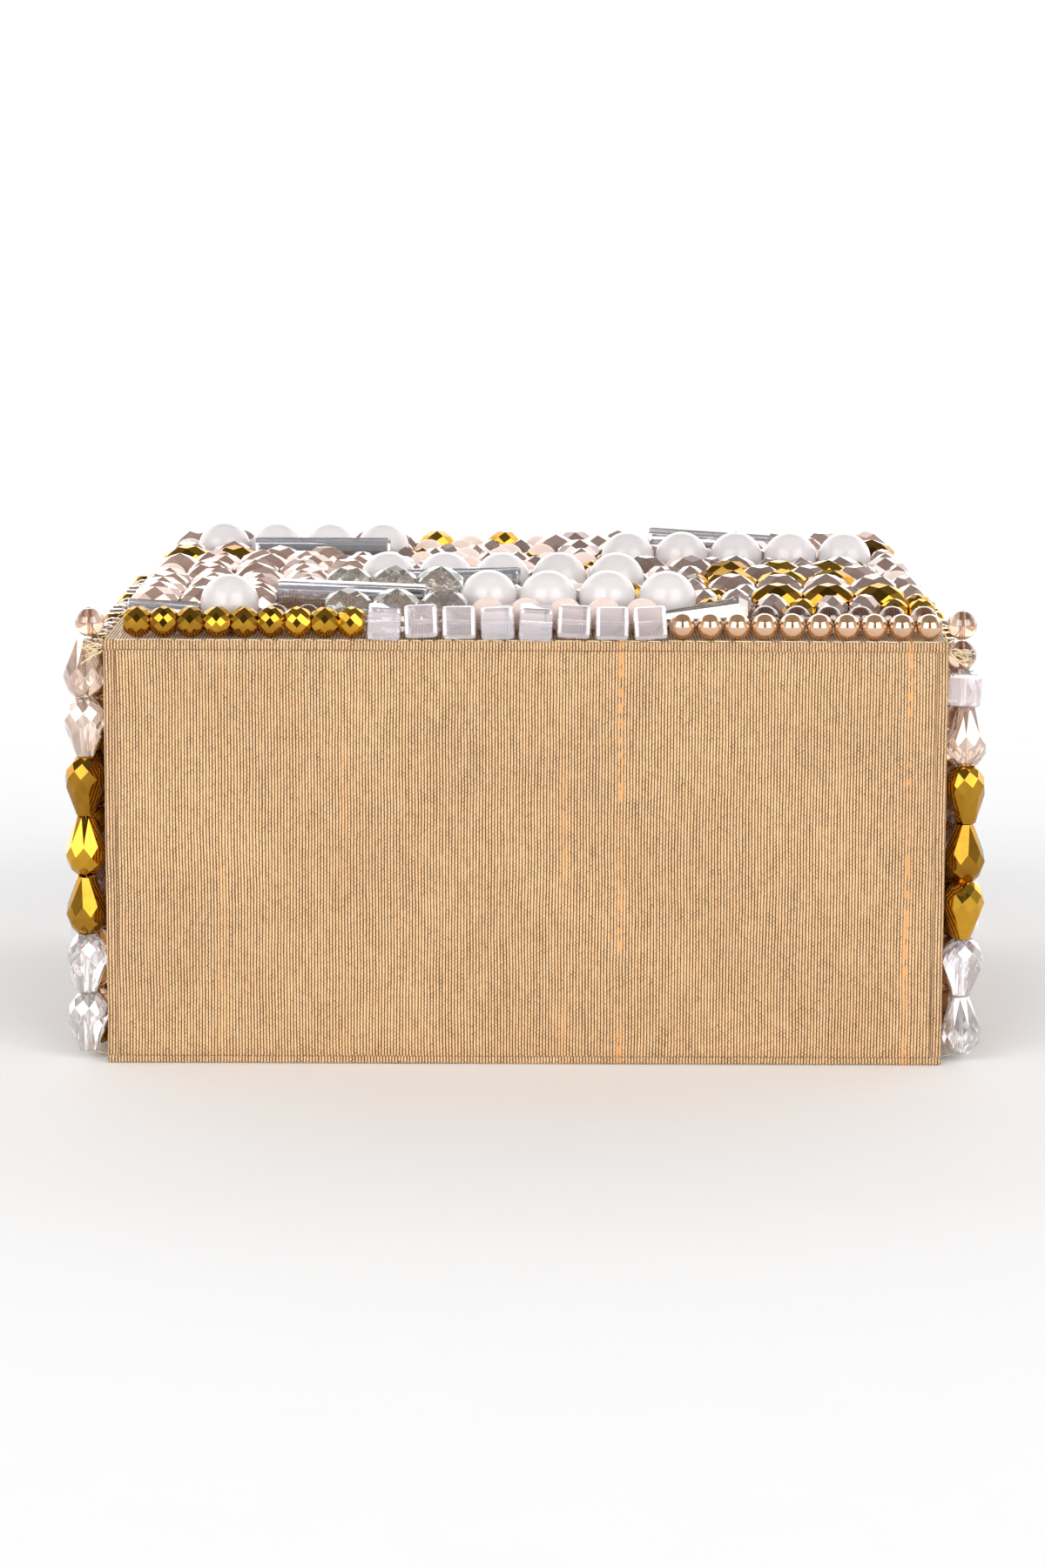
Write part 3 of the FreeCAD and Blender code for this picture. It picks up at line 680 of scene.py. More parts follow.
class SlabSkin:
    """The skin of a closed slab with rounded edges, which keeps its points by their grid place."""

    def __init__(self, low, high, radius, pitch, ribs, relief):
        self.low, self.high, self.radius = Vector(low), Vector(high), radius
        self.ribs, self.relief = ribs, relief
        size = self.high - self.low
        self.reach = Vector(min(radius, side / 2) for side in size)
        self.thin = min(range(3), key=lambda a: size[a])
        self.wide = [a for a in range(3) if a != self.thin]
        self.lines = [steps_between(self.low[a], self.high[a], radius, pitch[a]) for a in range(3)]
        self.bm = bmesh.new()
        self.weave = self.bm.verts.layers.float_vector.new("weave")
        self.wear = self.bm.verts.layers.float.new("wear")
        self.found = {}

    def within(self, point, axis):
        """A point's place along an axis, held a radius inside the slab."""
        low, high = self.low[axis], self.high[axis]
        if high - low <= 2 * self.radius:
            return (low + high) / 2
        return min(max(point[axis], low + self.radius), high - self.radius)

    def unfolded(self, point):
        """Where a point of the skin lies on the flat cloth."""
        across, along = self.ribs
        depth = self.high[self.thin] - point[self.thin]
        weave = Vector((point[across], point[along], depth))
        for slot, axis in enumerate(self.ribs):
            if axis == self.thin:
                continue
            if abs(point[axis] - self.high[axis]) < 1e-9:
                weave[slot] += depth
            elif abs(point[axis] - self.low[axis]) < 1e-9:
                weave[slot] -= depth
        weave[0] += waver(weave)
        return weave

    def vert(self, *index):
        if index not in self.found:
            point = Vector(self.lines[axis][step] for axis, step in enumerate(index))
            inner = Vector(self.within(point, axis) for axis in range(3))
            away = point - inner
            normal = Vector(away[a] / self.reach[a] for a in range(3)).normalized()
            rounded = inner + Vector(normal[a] * self.reach[a] for a in range(3))
            if self.relief:
                rounded += normal * self.relief(point, normal)
            made = self.bm.verts.new(rounded)
            made[self.weave] = self.unfolded(point)
            edge = min(min(point[a] - self.low[a], self.high[a] - point[a]) for a in self.wide)
            made[self.wear] = max(0.0, 1.0 - edge / WEAR_REACH)
            self.found[index] = made
        return self.found[index]

    def close(self):
        """The six sides."""
        counts = [len(line) for line in self.lines]
        for axis in range(3):
            first, second = (axis + 1) % 3, (axis + 2) % 3
            for side in (0, counts[axis] - 1):
                for p in range(counts[first] - 1):
                    for q in range(counts[second] - 1):
                        corners = []
                        for dp, dq in ((0, 0), (1, 0), (1, 1), (0, 1)):
                            index = [0, 0, 0]
                            index[axis], index[first], index[second] = side, p + dp, q + dq
                            corners.append(self.vert(*index))
                        self.bm.faces.new(corners if side else corners[::-1])


def soft_slab(name, low, high, radius, pitch, ribs, relief=None):
    """A closed slab with rounded edges.

    ribs is the pair of axes that the cloth's weave runs along: across its ribs, then along them.
    The weave is unfolded over the slab's edges into a point attribute. relief moves a point along
    its normal.
    """
    skin = SlabSkin(low, high, radius, pitch, ribs, relief)
    skin.close()
    return add_object(name, mesh_from(name, skin.bm, smooth=True))


def turned_mesh(name, rings, sides, smooth=False, turns=None):
    """A drilled bead about X from (x, radius) rings, its skin first and its bore last.

    turns says by how many half facets each ring is turned. Where two rings differ, the skin
    between them is cut into triangles, which pair up into lozenges.
    """
    turns = turns or [0] * len(rings)
    bm = bmesh.new()
    loops = []
    for (x, radius), turn in zip(rings, turns):
        around = circle(sides, math.pi / sides * turn)
        spots = [(x, radius * math.cos(a), radius * math.sin(a)) for a in around]
        loops.append([bm.verts.new(spot) for spot in spots])
    following = zip(loops[1:] + loops[:1], turns[1:] + turns[:1])
    for here, turn, (there, next_turn) in zip(loops, turns, following):
        for s in range(sides):
            a, b = here[s], here[(s + 1) % sides]
            c, d = there[s], there[(s + 1) % sides]
            if next_turn > turn:
                faces = ((a, b, c), (b, d, c))
            elif next_turn < turn:
                faces = ((a, d, c), (a, b, d))
            else:
                faces = ((a, b, d, c),)
            for corners in faces:
                bm.faces.new(corners)
    bmesh.ops.recalc_face_normals(bm, faces=bm.faces)
    return mesh_from(name, bm, smooth)


# ---------------------------------------------------------------- geometry node trees


def geometry_tree(name, **inputs):
    """A new geometry node tree with a mesh input and the named ones, its wiring and its inputs."""
    tree = bpy.data.node_groups.new(name, "GeometryNodeTree")
    for label, kind in {"Geometry": "Geometry", **inputs}.items():
        label = label.replace("_", " ")
        tree.interface.new_socket(label, in_out="INPUT", socket_type=f"NodeSocket{kind}")
    tree.interface.new_socket("Geometry", in_out="OUTPUT", socket_type="NodeSocketGeometry")
    w = Wiring(tree)
    return tree, w, w.node("NodeGroupInput").outputs


def store(w, geometry, name, value, kind, domain):
    """Writes a named attribute."""
    inputs = {"Geometry": geometry, "Name": name, "Value": value}
    made = w.node("GeometryNodeStoreNamedAttribute", inputs, data_type=kind, domain=domain)
    return made.outputs[0]


@cache
def island_tree():
    """Numbers the separate solids of a CAD node, so that each bead's place can be read."""
    tree, w, given = geometry_tree("Number the beads", Merge_within="Float")
    inputs = {"Geometry": given["Geometry"], "Distance": given["Merge within"]}
    merged = w.node("GeometryNodeMergeByDistance", inputs).outputs[0]
    number = w.node("GeometryNodeInputMeshIsland").outputs["Island Index"]
    w.node("NodeGroupOutput", {0: store(w, merged, "bead", number, "INT", "POINT")})
    return tree


@cache
def bead_tree():
    """Stands one drilled bead on every point, turned and sized as the point says."""
    tree, w, given = geometry_tree(
        "Beads on points",
        Bead="Object",
        Spin="Float",
        Tilt="Float",
        Seed="Int",
        Smooth="Bool",
        Finish="Material",
    )
    bead = w.node("GeometryNodeObjectInfo", {"Object": given["Bead"]}).outputs["Geometry"]
    named = "GeometryNodeInputNamedAttribute"
    turn, size = (
        w.node(named, {"Name": name}, data_type="FLOAT_VECTOR").outputs[0]
        for name in ("turn", "size")
    )
    less_spin, less_tilt = (w.math("MULTIPLY", given[name], -1.0) for name in ("Spin", "Tilt"))
    inputs = {
        "Min": w.vector(less_spin, less_tilt, less_tilt),
        "Max": w.vector(given["Spin"], given["Tilt"], given["Tilt"]),
        "Seed": given["Seed"],
    }
    wobble = w.node("FunctionNodeRandomValue", inputs, data_type="FLOAT_VECTOR").outputs[0]
    base = w.node("FunctionNodeEulerToRotation", {0: turn}).outputs[0]
    lean = w.node("FunctionNodeEulerToRotation", {0: wobble}).outputs[0]
    both = w.node("FunctionNodeRotateRotation", {0: base, 1: lean}, rotation_space="LOCAL")
    inputs = {
        "Points": given["Geometry"],
        "Instance": bead,
        "Rotation": both.outputs[0],
        "Scale": size,
    }
    placed = w.node("GeometryNodeInstanceOnPoints", inputs).outputs[0]
    shade = w.node("FunctionNodeRandomValue", {"Seed": given["Seed"]}, data_type="FLOAT").outputs[1]
    toned = store(w, placed, "tone", shade, "FLOAT", "INSTANCE")
    real = w.node("GeometryNodeRealizeInstances", {0: toned}).outputs[0]
    inputs = {"Geometry": real, "Shade Smooth": given["Smooth"]}
    smooth = w.node("GeometryNodeSetShadeSmooth", inputs).outputs[0]
    inputs = {"Geometry": smooth, "Material": given["Finish"]}
    w.node("NodeGroupOutput", {0: w.node("GeometryNodeSetMaterial", inputs).outputs[0]})
    return tree


@cache
def thread_tree():
    """Turns a line of edges into a round thread."""
    tree, w, given = geometry_tree(
        "Thread along edges", Radius="Float", Sides="Int", Finish="Material"
    )
    line = w.node("GeometryNodeMeshToCurve", {0: given["Geometry"]}).outputs[0]
    inputs = {"Resolution": given["Sides"], "Radius": given["Radius"]}
    ring = w.node("GeometryNodeCurvePrimitiveCircle", inputs).outputs[0]
    inputs = {"Curve": line, "Profile Curve": ring, "Fill Caps": True}
    tube = w.node("GeometryNodeCurveToMesh", inputs).outputs[0]
    real = w.node("GeometryNodeRealizeInstances", {0: tube}).outputs[0]
    inputs = {"Geometry": real, "Material": given["Finish"]}
    w.node("NodeGroupOutput", {0: w.node("GeometryNodeSetMaterial", inputs).outputs[0]})
    return tree


def grown_mesh(source, tree, **values):
    """The plain mesh that a node tree makes from a source mesh. _ stands for a space in a name."""
    values = {name.replace("_", " "): value for name, value in values.items()}
    scratch = add_object("scratch", source)
    modifier = scratch.modifiers.new("grow", "NODES")
    modifier.node_group = tree
    for item in tree.interface.items_tree:
        if item.in_out == "INPUT" and item.name in values:
            modifier[item.identifier] = values[item.name]
    depsgraph = bpy.context.evaluated_depsgraph_get()
    mesh = bpy.data.meshes.new_from_object(
        scratch.evaluated_get(depsgraph), preserve_all_data_layers=True, depsgraph=depsgraph
    )
    bpy.data.objects.remove(scratch)
    return mesh


# ---------------------------------------------------------------- beads from the frame


class Face:
    """One embroidered face: where its silk lies, and which way its strands run."""

    def __init__(self, body, along, across, normal, surface):
        self.body = body
        self.along, self.across, self.normal = Vector(along), Vector(across), Vector(normal)
        self.surface = surface

    def flat(self, point):
        """(along, across, height over the silk) of a point."""
        return (
            point.dot(self.along),
            point.dot(self.across),
            point.dot(self.normal) - self.surface,
        )

    def point(self, along, across, height):
        raised = self.normal * (height + self.surface)
        return self.along * along + self.across * across + raised

    def turn(self, sign):
        """The rotation that lays a bead's own X along the strand, or against it."""
        along = self.along * sign
        axes = Matrix((along, self.normal.cross(along), self.normal))
        return axes.transposed().to_euler()


FACES = {
    "lid": Face(LID, (1, 0, 0), (0, 1, 0), (0, 0, 1), LID_TOP),
    "left": Face(CASE, (0, 0, -1), (0, 1, 0), (-1, 0, 0), HALF_WIDTH),
    "right": Face(CASE, (0, 0, -1), (0, 1, 0), (1, 0, 0), HALF_WIDTH),
    "top_end": Face(CASE, (1, 0, 0), (0, 0, -1), (0, 1, 0), HALF_LENGTH),
}


# A bead as its CAD solid gives it. sign is -1 where its wide end comes first.
Bead = namedtuple("Bead", "face centre length across sign")
NEAR_WIDEST = 0.97  # share of a bead's greatest radius that counts as its widest part


def face_of(node, centre):
    if node.startswith("lid_"):
        return "lid"
    if centre.y > HALF_LENGTH:
        return "top_end"
    return "left" if centre.x < 0 else "right"


def solids_of(node):
    """The points of each separate solid of a CAD node."""
    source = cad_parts[node].data.copy()
    mesh = grown_mesh(source, island_tree(), Merge_within=MERGE_WITHIN)
    count = len(mesh.vertices)
    points = np.empty(count * 3, np.float32)
    mesh.vertices.foreach_get("co", points)
    number = np.empty(count, np.int32)
    mesh.attributes["bead"].data.foreach_get("value", number)
    bpy.data.meshes.remove(mesh)
    order = np.argsort(number, kind="stable")
    points, number = points.reshape(-1, 3).astype(float)[order], number[order]
    return np.split(points, np.flatnonzero(np.diff(number) > 0) + 1)


def middle_of(points):
    return Vector((points.min(0) + points.max(0)) / 2)


@cache
def beads_of(node):
    """Every bead of a CAD node: face, middle, length, thickness, and which end is the wide one."""
    beads = []
    for points in solids_of(node):
        centre = middle_of(points)
        face = face_of(node, centre)
        along, normal = np.array(FACES[face].along), np.array(FACES[face].normal)
        away = points - np.array(centre)
        reach = away @ along
        sideways = np.linalg.norm(away - np.outer(reach, along), axis=1)
        widest = reach[sideways > NEAR_WIDEST * sideways.max()].mean()
        span = points.max(0) - points.min(0)
        length, across = float(abs(span @ along)), float(abs(span @ normal))
        beads.append(Bead(face, centre, length, across, 1 if widest >= -1e-6 else -1))
    return beads


def string_beads(name, node, cut, slot, material, spin=math.pi, smooth=False, shrink=1.0):
    """Replaces a CAD bead node by cut and drilled beads on the same spots."""
    settings = bpy.context.scene.bag_beads
    beads = beads_of(node)
    points = bpy.data.meshes.new("bead points")
    points.from_pydata([bead.centre for bead in beads], [], [])
    turns = points.attributes.new("turn", "FLOAT_VECTOR", "POINT")
    sizes = points.attributes.new("size", "FLOAT_VECTOR", "POINT")
    for index, bead in enumerate(beads):
        turns.data[index].vector = FACES[bead.face].turn(bead.sign)
        across = bead.across * shrink
        sizes.data[index].vector = (bead.length * shrink, across, across)
    model = add_object("bead model", cut)
    mesh = grown_mesh(
        points,
        bead_tree(),
        Bead=model,
        Spin=spin,
        Tilt=settings.tilt,
        Seed=settings.seed + len(name),
        Smooth=smooth,
        Finish=finish(material),
    )
    bpy.data.objects.remove(model)
    body = FACES[beads[0].face].body
    settle_piece(add_object(name, mesh), body, slot, material, [node])


# ---------------------------------------------------------------- bead cuts


def bore_share(across):
    """A bead's hole as a share of its thickness."""
    return bpy.context.scene.bag_beads.bore / across


def round_cut(across, segments, rings):
    """A smooth round with a drilled hole."""
    hole, lip, narrowing = bore_share(across), 0.96, 0.92
    start = math.asin(2 * hole)
    profile = []
    for step in range(rings + 1):
        angle = start + (math.pi - 2 * start) * step / rings
        profile.append((-0.5 * math.cos(angle), 0.5 * math.sin(angle)))
    inner = 0.5 * math.cos(start) * lip
    profile += [(inner, hole * narrowing), (-inner, hole * narrowing)]
    return turned_mesh("round", profile, segments, smooth=True)


def lozenge_rings(sides, reaches):
    """(reach, radius) of each ring of corners from a faceted bead's widest ring to one end.

    reaches are the rings' distances from the widest ring, as shares of the bead's length. Each ring
    turns by half a facet from the one before, and its radius is worked out so that every lozenge
    is flat.
    """
    flat = math.cos(math.pi / sides)
    places = (0.0, *reaches)
    radii = [0.5, 0.5 * flat]
    for ring in range(2, len(places)):
        before, between = places[ring - 2], places[ring - 1]
        slope = (radii[ring - 1] * flat - radii[ring - 2]) / (between - before)
        radii.append(radii[ring - 2] + slope * (places[ring] - before))
    return list(zip(reaches, radii[1:]))


def faceted_cut(across, sides, widest, start_reaches, end_reaches):
    """A bead of flat lozenges. widest is where along the bead it is thickest, from -0.5 to 0.5."""
    hole = bore_share(across)
    start = lozenge_rings(sides, start_reaches)
    end = lozenge_rings(sides, end_reaches)
    profile = [(widest - reach, radius) for reach, radius in reversed(start)]
    profile += [(widest, 0.5)]
    profile += [(widest + reach, radius) for reach, radius in end]
    turns = [*range(len(profile)), len(profile) - 1, 0]
    profile += [(0.47, hole), (-0.47, hole)]
    return turned_mesh("faceted", profile, sides, turns=turns)


def rondelle_cut(across, sides, first, second):
    """A rondelle: two rows of lozenges and one of kites on each side of its middle."""
    reaches = (first, second, 0.5)
    return faceted_cut(across, sides, 0.0, reaches, reaches)


def drop_cut(across, sides=8):
    """A drop: long kites up from its narrow start, and lozenges over its shoulders."""
    return faceted_cut(across, sides, 0.15, (0.17, 0.65), (0.14, 0.26, 0.35))


def spike_cut(across, sides=8):
    """A long tapered crystal with flat facets and a bevelled broad end."""
    hole = bore_share(across)
    profile = [(-0.5, 0.17), (-0.46, 0.21), (0.40, 0.5), (0.5, 0.36), (0.48, hole), (-0.49, hole)]
    return turned_mesh("spike", profile, sides)


def tube_cut(sides, outer, hole, end=0.02):
    """A straight tube with slightly melted ends."""
    half, mouth = ((0.5, outer * 0.9), (0.5 - end, outer)), (0.5 - end * 0.3, hole)
    profile = [(-x, radius) for x, radius in half] + [*reversed(half), mouth, (-mouth[0], hole)]
    return turned_mesh("tube", profile, sides)


def cube_cut(across, bevel=0.13, sides=10):
    """A cube with bevelled edges, drilled from side to side along X."""
    hole = bore_share(across)
    bm = bmesh.new()
    bmesh.ops.create_cube(bm, size=1.0)
    edges = bm.edges[:]
    bmesh.ops.bevel(bm, geom=edges, offset=bevel, segments=2, profile=0.6, affect="EDGES")
    angles = [math.tau * (s + 0.5) / sides - math.pi for s in range(sides)]
    rings = []
    for end in (-1, 1):
        cap = max(bm.faces, key=lambda f: f.calc_center_median().x * end)
        border = sorted(cap.verts, key=lambda v: math.atan2(v.co.z, v.co.y))
        bmesh.ops.delete(bm, geom=[cap], context="FACES_ONLY")
        ring = [bm.verts.new((0.5 * end, hole * math.cos(a), hole * math.sin(a))) for a in angles]
        rings.append(ring)
        edges = []
        for verts in (border, ring):
            for a, b in zip(verts, verts[1:] + verts[:1]):
                edges.append(bm.edges.get((a, b)) or bm.edges.new((a, b)))
        bmesh.ops.bridge_loops(bm, edges=edges)
    quads(bm, *rings, closed=True)
    bmesh.ops.recalc_face_normals(bm, faces=bm.faces)
    return mesh_from("cube", bm, smooth=False)


def across_of(node):
    """The usual thickness of a node's beads."""
    return float(np.median([b.across for b in beads_of(node)]))


# ---------------------------------------------------------------- operators


# The studio tent's edges: how far each reaches round from the bag's front (1) to its back (-1).
AHEAD_BOXES, AHEAD_GAP, AHEAD_SIDES = (0.48, 0.56), (0.974, 0.980), (-0.35, -0.15)
# How high each ends, from the horizon (0) to overhead (1).
HIGH_BOXES, HIGH_SIDES, HIGH_BACK = (0.66, 0.74), (0.62, 0.70), (0.55, 0.75)
SEEN_GLOW = 2.0  # what the camera sees past the floor is brighter than what lights the bag
FLOOR_RADIUS, FLOOR_DROP = 6.0, 0.05 * MM


class BAG_OT_stage(bpy.types.Operator):
    """Sets up the camera, the floor and the studio light"""

    bl_idname = "bag.stage"
    bl_label = "Stage"
    bl_options = {"REGISTER", "UNDO"}

    def execute(self, context):
        settings = context.scene.bag_stage
        context.scene.view_settings.view_transform = "Standard"
        data = bpy.data.cameras.new("Camera")
        data.sensor_fit = "VERTICAL"
        data.sensor_height = 36.0
        data.lens = settings.lens
        data.clip_start = 0.01
        camera = add_object("Camera", data)
        turn = Euler((math.pi / 2 - settings.pitch, 0, 0)).to_matrix()
        lean = Euler((0, 0, settings.roll)).to_matrix()
        camera.matrix_world = Matrix.Translation(settings.camera) @ (turn @ lean).to_4x4()
        context.scene.camera = camera
        self.floor()
        self.surround(context.scene, settings)
        return {"FINISHED"}

    def floor(self):
        """A wide pale sweep under the bag."""
        bm = bmesh.new()
        bmesh.ops.create_circle(bm, cap_ends=True, segments=96, radius=FLOOR_RADIUS)
        bmesh.ops.translate(bm, vec=(0, 0, -FLOOR_DROP), verts=bm.verts)
        mesh = mesh_from("floor", bm, smooth=False)
        mesh.materials.append(finish("paper"))
        add_object("floor", mesh)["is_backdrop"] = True

    def surround(self, scene, settings):
        """A white tent: bright at its sides, dimmer overhead, with a dark gap for the camera."""
        world = bpy.data.worlds.new("Studio tent")
        world.use_nodes = True
        scene.world = world
        w = Wiring(world.node_tree)
        direction = w.node("ShaderNodeTexCoord").outputs["Generated"]
        x, y, z = w.node("ShaderNodeSeparateXYZ", {0: direction}).outputs
        level = w.math("SQRT", w.math("ADD", w.math("MULTIPLY", x, x), w.math("MULTIPLY", y, y)))
        ahead = w.math("DIVIDE", w.math("MULTIPLY", y, -1.0), w.math("MAXIMUM", level, 0.001))
        boxes = w.math(
            "MULTIPLY", w.between(ahead, *AHEAD_BOXES), w.between(z, *HIGH_BOXES, 1.0, 0.0)
        )
        sides = w.between(z, *HIGH_SIDES, settings.sides, settings.roof)
        back = w.between(z, *HIGH_BACK, settings.back, settings.roof)
        tent = w.toward(w.between(ahead, *AHEAD_SIDES), sides, back)
        tent = w.toward(boxes, settings.boxes, tent)
        tent = w.toward(w.between(ahead, *AHEAD_GAP), settings.gap, tent)
        seen = w.node("ShaderNodeLightPath").outputs["Is Camera Ray"]
        glow = w.math("MULTIPLY", seen, SEEN_GLOW)
        strength = w.math("ADD", w.math("MULTIPLY", tent, settings.surround), glow)
        background = world.node_tree.nodes["Background"]
        background.inputs["Color"].default_value = (1, 1, 1, 1)
        w.feed(background, Strength=strength)


def silk_relief(point, normal):
    """Slight unevenness of silk pulled over a board. Underneath, it only sinks."""
    slow = ripple(point, (0.06 * MM, 28.0), (0.06 * MM, 160.0))
    return -abs(slow) if normal.z < -FACING else slow


class BAG_OT_silk(bpy.types.Operator):
    """Covers the boards with ribbed silk"""

    bl_idname = "bag.silk"
    bl_label = "Silk coverings"
    bl_options = {"REGISTER", "UNDO"}

    def execute(self, context):
        base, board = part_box("base_silk"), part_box("base_board")
        inside = Vector((base[1].x, board[1].y, base[1].z))
        self.panel("base_panel_silk", base[0], inside + TURN_IN, "base_silk")
        top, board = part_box("top_end_silk"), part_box("top_end_board")
        inside = Vector((top[0].x, board[0].y, top[0].z))
        self.cover("top_end_cover", inside, top[1] + TURN_IN, "top_end_silk", (0, 2))
        for side in ("left", "right"):
            low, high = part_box(f"{side}_silk")
            self.cover(f"{side}_wall_cover", low, high + TURN_IN, f"{side}_silk", (1, 2))
        self.cover("back_cover", *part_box("back_silk"), "back_silk", (0, 1))
        low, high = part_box("lid_silk")
        self.cover("lid_cover", low - TURN_IN, high, "lid_silk", (0, 1), body=LID)
        return {"FINISHED"}

    def cover(self, name, low, high, node, ribs, body=CASE):
        radius = bpy.context.scene.bag_silk.edge_radius
        obj = soft_slab(name, low, high, radius, (2.2 * MM,) * 3, ribs, silk_relief)
        settle_piece(obj, body, "silk", "silk", [node])

    def panel(self, name, low, high, node):
        """The plain base: its ribs stand up as real ridges, and it sinks a little at its edges."""
        settings = bpy.context.scene.bag_silk
        rib, rise = settings.rib_pitch, settings.rib_height
        border = 1.2 * MM

        def relief(point, normal):
            if normal.y > -FACING:
                return 0.0
            across = point.x + waver(Vector((point.x, point.z, 0)))
            wave = abs(math.sin(math.pi * across / rib))
            slow = ripple(point, (0.10 * MM, 30.0), (0.04 * MM, 90.0))
            edge = min(point.x - low.x, high.x - point.x, point.z - low.z, high.z - point.z)
            sink = max(0.0, 1.0 - edge / border) ** 2 * 0.06 * MM
            return slow - sink + (wave - 1.0) * rise * min(1.0, edge / border)

        pitch = (rib / 4, 2.0 * MM, 2.8 * MM)
        obj = soft_slab(name, low, high, 0.15 * MM, pitch, (0, 2), relief)
        settle_piece(obj, CASE, "silk", "silk", [node])


class BAG_OT_boards(bpy.types.Operator):
    """Gives the boards inside the covers their pulp finish"""

    bl_idname = "bag.boards"
    bl_label = "Boards"
    bl_options = {"REGISTER", "UNDO"}

    def execute(self, context):
        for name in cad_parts:
            if name.endswith("_board"):
                paint_node(name, "greyboard")
        return {"FINISHED"}


def paint_node(node, material):
    """Gives a CAD node that shows as it is its finish."""
    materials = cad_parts[node].data.materials
    materials.clear()
    materials.append(finish(material))


class BAG_OT_linings(bpy.types.Operator):
    """Lines the inside with satin over card"""

    bl_idname = "bag.linings"
    bl_label = "Satin linings"
    bl_options = {"REGISTER", "UNDO"}

    def execute(self, context):
        weaves = {
            "back_lining": (0, 1),
            "left_lining": (1, 2),
            "right_lining": (1, 2),
            "base_lining": (0, 2),
            "top_end_lining": (0, 2),
        }
        for node, ribs in weaves.items():
            name = f"{node}_satin"
            obj = soft_slab(name, *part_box(node), 0.35 * MM, (2.5 * MM,) * 3, ribs, self.soft)
            settle_piece(obj, CASE, "satin", "satin", [node])
        self.lid_panel()
        return {"FINISHED"}

    def soft(self, point, normal):
        return -abs(ripple(point, (0.12 * MM, 60.0)))

    def lid_panel(self):
        """The lid's padded panel: crowned, and puckered where its satin is drawn round the card."""
        low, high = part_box("lid_lining")
        border, pucker = 11.0 * MM, 4.6 * MM
        crown, fold_depth, sunk = 0.75 * MM, 0.22 * MM, 0.12 * MM

        def relief(point, normal):
            if normal.z > -FACING:
                return 0.0
            from_side = min(point.x - low.x, high.x - point.x)
            from_end = min(point.y - low.y, high.y - point.y)
            run = point.y if from_side < from_end else point.x
            fall = max(0.0, 1.0 - min(from_side, from_end) / border)
            fold = 0.5 + 0.5 * math.sin(math.tau * run / pucker + ripple(point, (5.0, 70.0)))
            slow = ripple(point, (0.12 * MM, 45.0))
            return slow - sunk - crown * fall**2 - fold_depth * fall * fold

        pitch = (1.1 * MM, 1.1 * MM, 1.2 * MM)
        obj = soft_slab("lid_padded_lining", low, high, 0.6 * MM, pitch, (0, 1), relief)
        settle_piece(obj, LID, "satin", "satin", ["lid_lining"])


STRIP_STEP, STRIP_COLUMNS = 0.8 * MM, 120  # how finely the hinge cloth is divided


class BAG_OT_hinge(bpy.types.Operator):
    """Joins the lid to the base with a bent strip of hinge cloth"""

    bl_idname = "bag.hinge"
    bl_label = "Hinge cloth"
    bl_options = {"REGISTER", "UNDO"}

    def execute(self, context):
        case_low, case_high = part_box("hinge_cloth_case_leaf")
        lid_low, lid_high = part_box("hinge_cloth_lid_leaf")
        under_lid = lid_high.z - 0.02 * MM
        path = [
            Vector((0, case_low.y, case_low.z)),
            Vector((0, case_low.y, case_high.z - 1.2 * MM)),
            Vector((0, case_low.y + 0.25 * MM, case_high.z - 0.3 * MM)),
            Vector((0, lid_low.y + 0.9 * MM, under_lid)),
            Vector((0, lid_high.y, under_lid)),
        ]
        obj = self.strip("hinge_cloth", path, case_low.x, case_high.x, case_high.y - case_low.y)
        obj.data.materials.append(finish("silk"))
        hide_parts("hinge_cloth_case_leaf", "hinge_cloth_lid_leaf")
        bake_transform(obj)
        length = sum((b - a).length for a, b in zip(path, path[1:]))
        return {"FINISHED"}

    def strip(self, name, path, x_low, x_high, thick):
        """A band of cloth that follows a bent path and is closed all round."""
        dense = []
        for a, b in zip(path, path[1:]):
            count = max(1, round((b - a).length / STRIP_STEP))
            dense += [a.lerp(b, i / count) for i in range(count)]
        dense.append(path[-1])
        bm = bmesh.new()
        weave = bm.verts.layers.float_vector.new("weave")
        outer, inner = [], []
        run = 0.0
        for index, point in enumerate(dense):
            before, after = dense[max(0, index - 1)], dense[min(len(dense) - 1, index + 1)]
            tangent = (after - before).normalized()
            inward = Vector((0, tangent.z, -tangent.y))
            run += (point - before).length
            for rows, depth in ((outer, 0.0), (inner, thick)):
                row = []
                for c in range(STRIP_COLUMNS + 1):
                    x = x_low + (x_high - x_low) * c / STRIP_COLUMNS
                    v = bm.verts.new(Vector((x, point.y, point.z)) + inward * depth)
                    v[weave] = (x, run, depth)
                    row.append(v)
                rows.append(row)
        for rows in (outer, inner):
            for here, there in zip(rows, rows[1:]):
                quads(bm, here, there)
        for end in (0, -1):
            quads(bm, [row[end] for row in outer], [row[end] for row in inner])
            quads(bm, outer[end], inner[end])
        bmesh.ops.recalc_face_normals(bm, faces=bm.faces)
        return add_object(name, mesh_from(name, bm, smooth=True))


